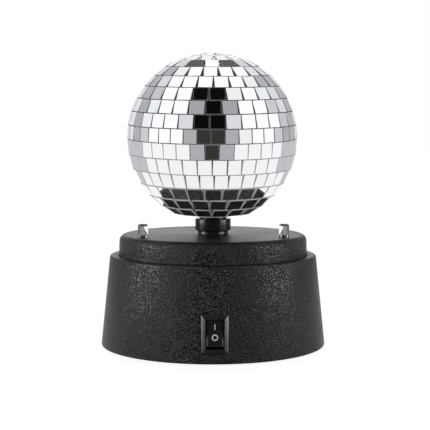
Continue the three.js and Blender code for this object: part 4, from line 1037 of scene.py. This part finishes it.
def feet():
    for index, (x, y) in enumerate(FOOT_PLACES):
        node = f"foot_{index + 1}"
        low, high = node_box(node)
        profile = [(0, low.z)]
        profile += arc(FOOT_RADIUS - FOOT_ROUND, low.z + FOOT_ROUND, FOOT_ROUND, -90, 0, 5)
        profile += [(FOOT_RADIUS, high.z), (0, high.z)]
        obj = make_object(node + "_pad", turned(profile, ROUND, place=(x, y, 0)), [RUBBER])
        settle(obj, "base", "rubber", node)


# The remaining pieces and how much their edges are rounded.
SOFTENED = (
    ("bottom_plate", 0.3), ("battery_door", 0.3), ("led_board", 0.12), ("drive_shaft", 0.2),
    ("shaft_bush", 0.2), ("output_gear", 0.06), ("idler_gear_first", 0.06),
    ("idler_gear_second", 0.06), ("idler_axle_first", 0.1), ("idler_axle_second", 0.1),
    ("gearbox_lower_plate", 0.25), ("gearbox_upper_plate", 0.25), ("motor_can", 0.4),
    ("motor_end_cap", 0.2), ("motor_rotor", 0.1), ("motor_pinion", 0.04),
    ("battery_cell_1", 0.35), ("battery_cell_2", 0.35), ("battery_cell_3", 0.35),
    ("contact_negative", 0.06), ("contact_link_left", 0.06), ("contact_link_right", 0.06),
    ("contact_positive", 0.06), ("case_screw_1", 0.15), ("case_screw_2", 0.15),
    ("case_screw_3", 0.15), ("case_screw_4", 0.15), ("gearbox_screw_1", 0.12),
    ("gearbox_screw_2", 0.12),
)


SOFTENED_SEGMENTS = 2
SOFTENED_ANGLE = 40


def softened(node, width):
    """A copy of a CAD piece with its sharp edges broken by a small round."""
    source = frame["nodes"][node]
    bm = bmesh.new()
    bm.from_mesh(source.data)
    bmesh.ops.transform(bm, matrix=source.matrix_world, verts=bm.verts)
    bmesh.ops.scale(bm, vec=(1 / MM, 1 / MM, 1 / MM), verts=bm.verts)
    bmesh.ops.remove_doubles(bm, verts=bm.verts, dist=2e-3)
    bmesh.ops.dissolve_limit(
        bm, angle_limit=math.radians(2), verts=bm.verts, edges=bm.edges, delimit={"NORMAL"}
    )
    bevelled(bm, width, SOFTENED_SEGMENTS, SOFTENED_ANGLE)
    slot = SLOTS[node]
    obj = make_object(node + "_finished", bm, [SLOT_MATERIALS[slot]])
    settle(obj, body_of(source)[0], slot, node)


# ------------------------------------------------------------------ studio and camera


FLOOR_RADIUS = 4000
CARD_DISTANCE = 1500
TOP_CARD_DISTANCE = 1600
LOW_CARD_DISTANCE = 262  # so near that the cards' feet stay above the floor
REAR_LOW_CARD_DISTANCE = 300
CARD_COLUMNS = 6
BLACK = (0.004, 0.004, 0.005)
OLIVE = (0.040, 0.040, 0.034)
GREY = (0.48, 0.48, 0.50)
# Cards in front: name, azimuths, elevations, radiance and distance. Azimuth 0 is the switch side.
FRONT_CARDS = (
    ("card_top", (-180, 180), (54, 89), (1.2, 1.2, 1.2), TOP_CARD_DISTANCE),
    ("card_black", (-19, 21), (11, 50), BLACK, CARD_DISTANCE),
    ("card_black_high", (-30, 38), (50, 66), BLACK, CARD_DISTANCE),
    ("card_olive", (-14, 14), (-3, 11), OLIVE, CARD_DISTANCE),
    ("card_olive_low", (-10, 10), (-27, -3), OLIVE, LOW_CARD_DISTANCE),
)
# Cards that stand on each side, mirrored.
PAIRED_CARDS = (
    ("card_grey", (14, 37), (-3, 11), GREY, CARD_DISTANCE),
    ("card_grey_low", (10, 30), (-27, -3), GREY, LOW_CARD_DISTANCE),
    ("card_grey_high", (20, 38), (30, 50), (0.43, 0.43, 0.45), CARD_DISTANCE),
    ("card_pale", (20, 44), (11, 30), (0.82, 0.82, 0.85), CARD_DISTANCE),
    ("card_bright", (46, 94), (-3, 54), (1.15, 1.15, 1.15), CARD_DISTANCE),
    ("card_low", (94, 150), (-22, -3), (0.6, 0.61, 0.64), REAR_LOW_CARD_DISTANCE),
    ("card_rear", (143, 166), (55, 66), (0.13, 0.13, 0.12), CARD_DISTANCE),
)
# Paler and darker panels behind the ball on each side: from and to azimuth, and brightness.
SIDE_PANELS = (
    (94, 101, 0.68), (101, 108, 0.98), (108, 116, 0.64), (116, 122, 0.48), (122, 130, 0.8),
    (130, 137, 0.5), (137, 144, 0.85), (144, 152, 0.5), (152, 166, 0.75),
)
PANEL_ELEVATIONS = (-3, 50)
PANEL_TINT = (1.0, 1.01, 1.06)


def direction(azimuth, elevation):
    """Outwards at an azimuth from the switch side and an elevation, in degrees."""
    a, e = math.radians(azimuth), math.radians(elevation)
    return Vector((math.sin(a) * math.cos(e), -math.cos(a) * math.cos(e), math.sin(e)))


def card(name, azimuths, elevations, radiance, distance):
    """A card round the ball that only shows in reflections."""
    bm = bmesh.new()
    grid = []
    for elevation in elevations:
        row = []
        for column in range(CARD_COLUMNS + 1):
            azimuth = azimuths[0] + (azimuths[1] - azimuths[0]) * column / CARD_COLUMNS
            out = direction(azimuth, elevation)
            row.append(bm.verts.new(out * distance + Vector((0, 0, BALL_CENTRE))))
        grid.append(row)
    for column in range(CARD_COLUMNS):
        bm.faces.new((grid[0][column], grid[0][column + 1], grid[1][column + 1], grid[1][column]))
    material = bpy.data.materials.new(name)
    material.use_nodes = True
    tree = material.node_tree
    tree.nodes.clear()
    emission = tree.nodes.new("ShaderNodeEmission")
    emission.inputs["Color"].default_value = (*radiance, 1)
    output = tree.nodes.new("ShaderNodeOutputMaterial")
    tree.links.new(emission.outputs["Emission"], output.inputs["Surface"])
    obj = make_object(name, bm, [material])
    obj.visible_camera = False
    obj.visible_diffuse = False
    obj.visible_shadow = False
    obj.visible_transmission = False
    obj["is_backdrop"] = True


def white_floor():
    paint = Paint("floor", (0.12, 0.12, 0.12), 0.7, specular=0.1)
    paint.set("Emission Color", (1, 1, 1, 1))
    paint.set("Emission Strength", 0.9)
    bm = bmesh.new()
    bmesh.ops.create_circle(bm, cap_ends=True, segments=96, radius=FLOOR_RADIUS)
    make_object("floor", bm, [paint.material])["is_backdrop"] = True


def studio():
    world = bpy.data.worlds.new("studio")
    bpy.context.scene.world = world
    world.use_nodes = True
    background = world.node_tree.nodes["Background"]
    background.inputs["Color"].default_value = (1, 1, 1, 1)
    background.inputs["Strength"].default_value = 1.0
    white_floor()
    for name, azimuths, elevations, radiance, distance in FRONT_CARDS:
        card(name, azimuths, elevations, radiance, distance)
    for side in (-1, 1):
        for name, azimuths, elevations, radiance, distance in PAIRED_CARDS:
            span = sorted(side * azimuth for azimuth in azimuths)
            card(f"{name}_{side}", span, elevations, radiance, distance)
        for number, (start, end, shade) in enumerate(SIDE_PANELS):
            span = sorted((side * start, side * end))
            panel = [shade * tint for tint in PANEL_TINT]
            card(f"card_panel_{number}_{side}", span, PANEL_ELEVATIONS, panel, CARD_DISTANCE)


SOFTBOX_HEIGHT = 1.1  # in metres, as are the two below
SOFTBOX_DISTANCE = 1.3
SOFTBOX_AIM_HEIGHT = 0.05
# Name, azimuth, elevation, width in metres and power in watts.
SOFTBOXES = (
    ("softbox_left", -77, 16, 0.9, 150),
    ("softbox_right", 70, 16, 0.9, 130),
    ("softbox_rear", 180, 30, 0.95, 2.5),
)


def softbox_receivers():
    """Every piece but the mirror tiles and the lamps, which show the cards instead."""
    receivers = bpy.data.collections.new("softbox_receivers")
    for obj in bpy.context.scene.objects:
        clear = obj.name.startswith(("mirror_", "led_"))
        if obj.type == "MESH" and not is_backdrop(obj) and not clear:
            receivers.objects.link(obj)
    return receivers


def softbox(name, azimuth, elevation, width, power, receivers):
    """An area light that shines only on the receivers."""
    data = bpy.data.lights.new(name, "AREA")
    data.shape = "RECTANGLE"
    data.size = width
    data.size_y = SOFTBOX_HEIGHT
    data.energy = power
    obj = bpy.data.objects.new(name, data)
    bpy.context.scene.collection.objects.link(obj)
    out = direction(azimuth, elevation)
    obj.location = out * SOFTBOX_DISTANCE + Vector((0, 0, SOFTBOX_AIM_HEIGHT))
    obj.rotation_euler = out.to_track_quat("Z", "Y").to_euler()
    obj.visible_camera = False
    obj.light_linking.receiver_collection = receivers


def softboxes():
    receivers = softbox_receivers()
    for name, azimuth, elevation, width, power in SOFTBOXES:
        softbox(name, azimuth, elevation, width, power, receivers)


CAMERA_DISTANCE = 700
CAMERA_RISE = 9.2  # above the ball's middle
CAMERA_PITCH = math.radians(4.49)
CAMERA_AZIMUTH = math.radians(-0.9)
FOCAL_LENGTH = 1181.9  # in widths of a picture element, of which the image has IMAGE_WIDTH
IMAGE_WIDTH = 430
SENSOR_WIDTH = 36.0
AXIS_OFFSET = 2.0  # how far the spin axis is from the image's middle, in the same unit


def camera():
    """At the photograph's angle: a little above the ball's middle, looking down."""
    data = bpy.data.cameras.new("camera")
    data.sensor_width = SENSOR_WIDTH
    data.lens = FOCAL_LENGTH / IMAGE_WIDTH * SENSOR_WIDTH
    data.clip_start = 0.01
    data.clip_end = 20
    obj = bpy.data.objects.new("camera", data)
    bpy.context.scene.collection.objects.link(obj)
    obj.location = (
        CAMERA_DISTANCE * MM * math.sin(CAMERA_AZIMUTH),
        -CAMERA_DISTANCE * MM * math.cos(CAMERA_AZIMUTH),
        (BALL_CENTRE + CAMERA_RISE) * MM,
    )
    heading = CAMERA_AZIMUTH - math.atan(AXIS_OFFSET / FOCAL_LENGTH)
    obj.rotation_euler = (math.pi / 2 - CAMERA_PITCH, 0, heading)
    bpy.context.scene.camera = obj


def plain_view():
    scene = bpy.context.scene
    scene.view_settings.view_transform = "Standard"
    scene.view_settings.look = "None"
    scene.view_settings.exposure = 0
    scene.view_settings.gamma = 1


dress_cad_nodes()
base_shell()
top_cover()
ball_shell()
mirrors()
collar()
switch_housing()
rocker()
switch_marks()
for lamp_node, place in zip(("led_rear", "led_front_left", "led_front_right"), LAMP_PLACES):
    lamp(lamp_node, *place)
feet()
for finished_node, round_width in SOFTENED:
    softened(finished_node, round_width)
studio()
softboxes()
camera()
plain_view()
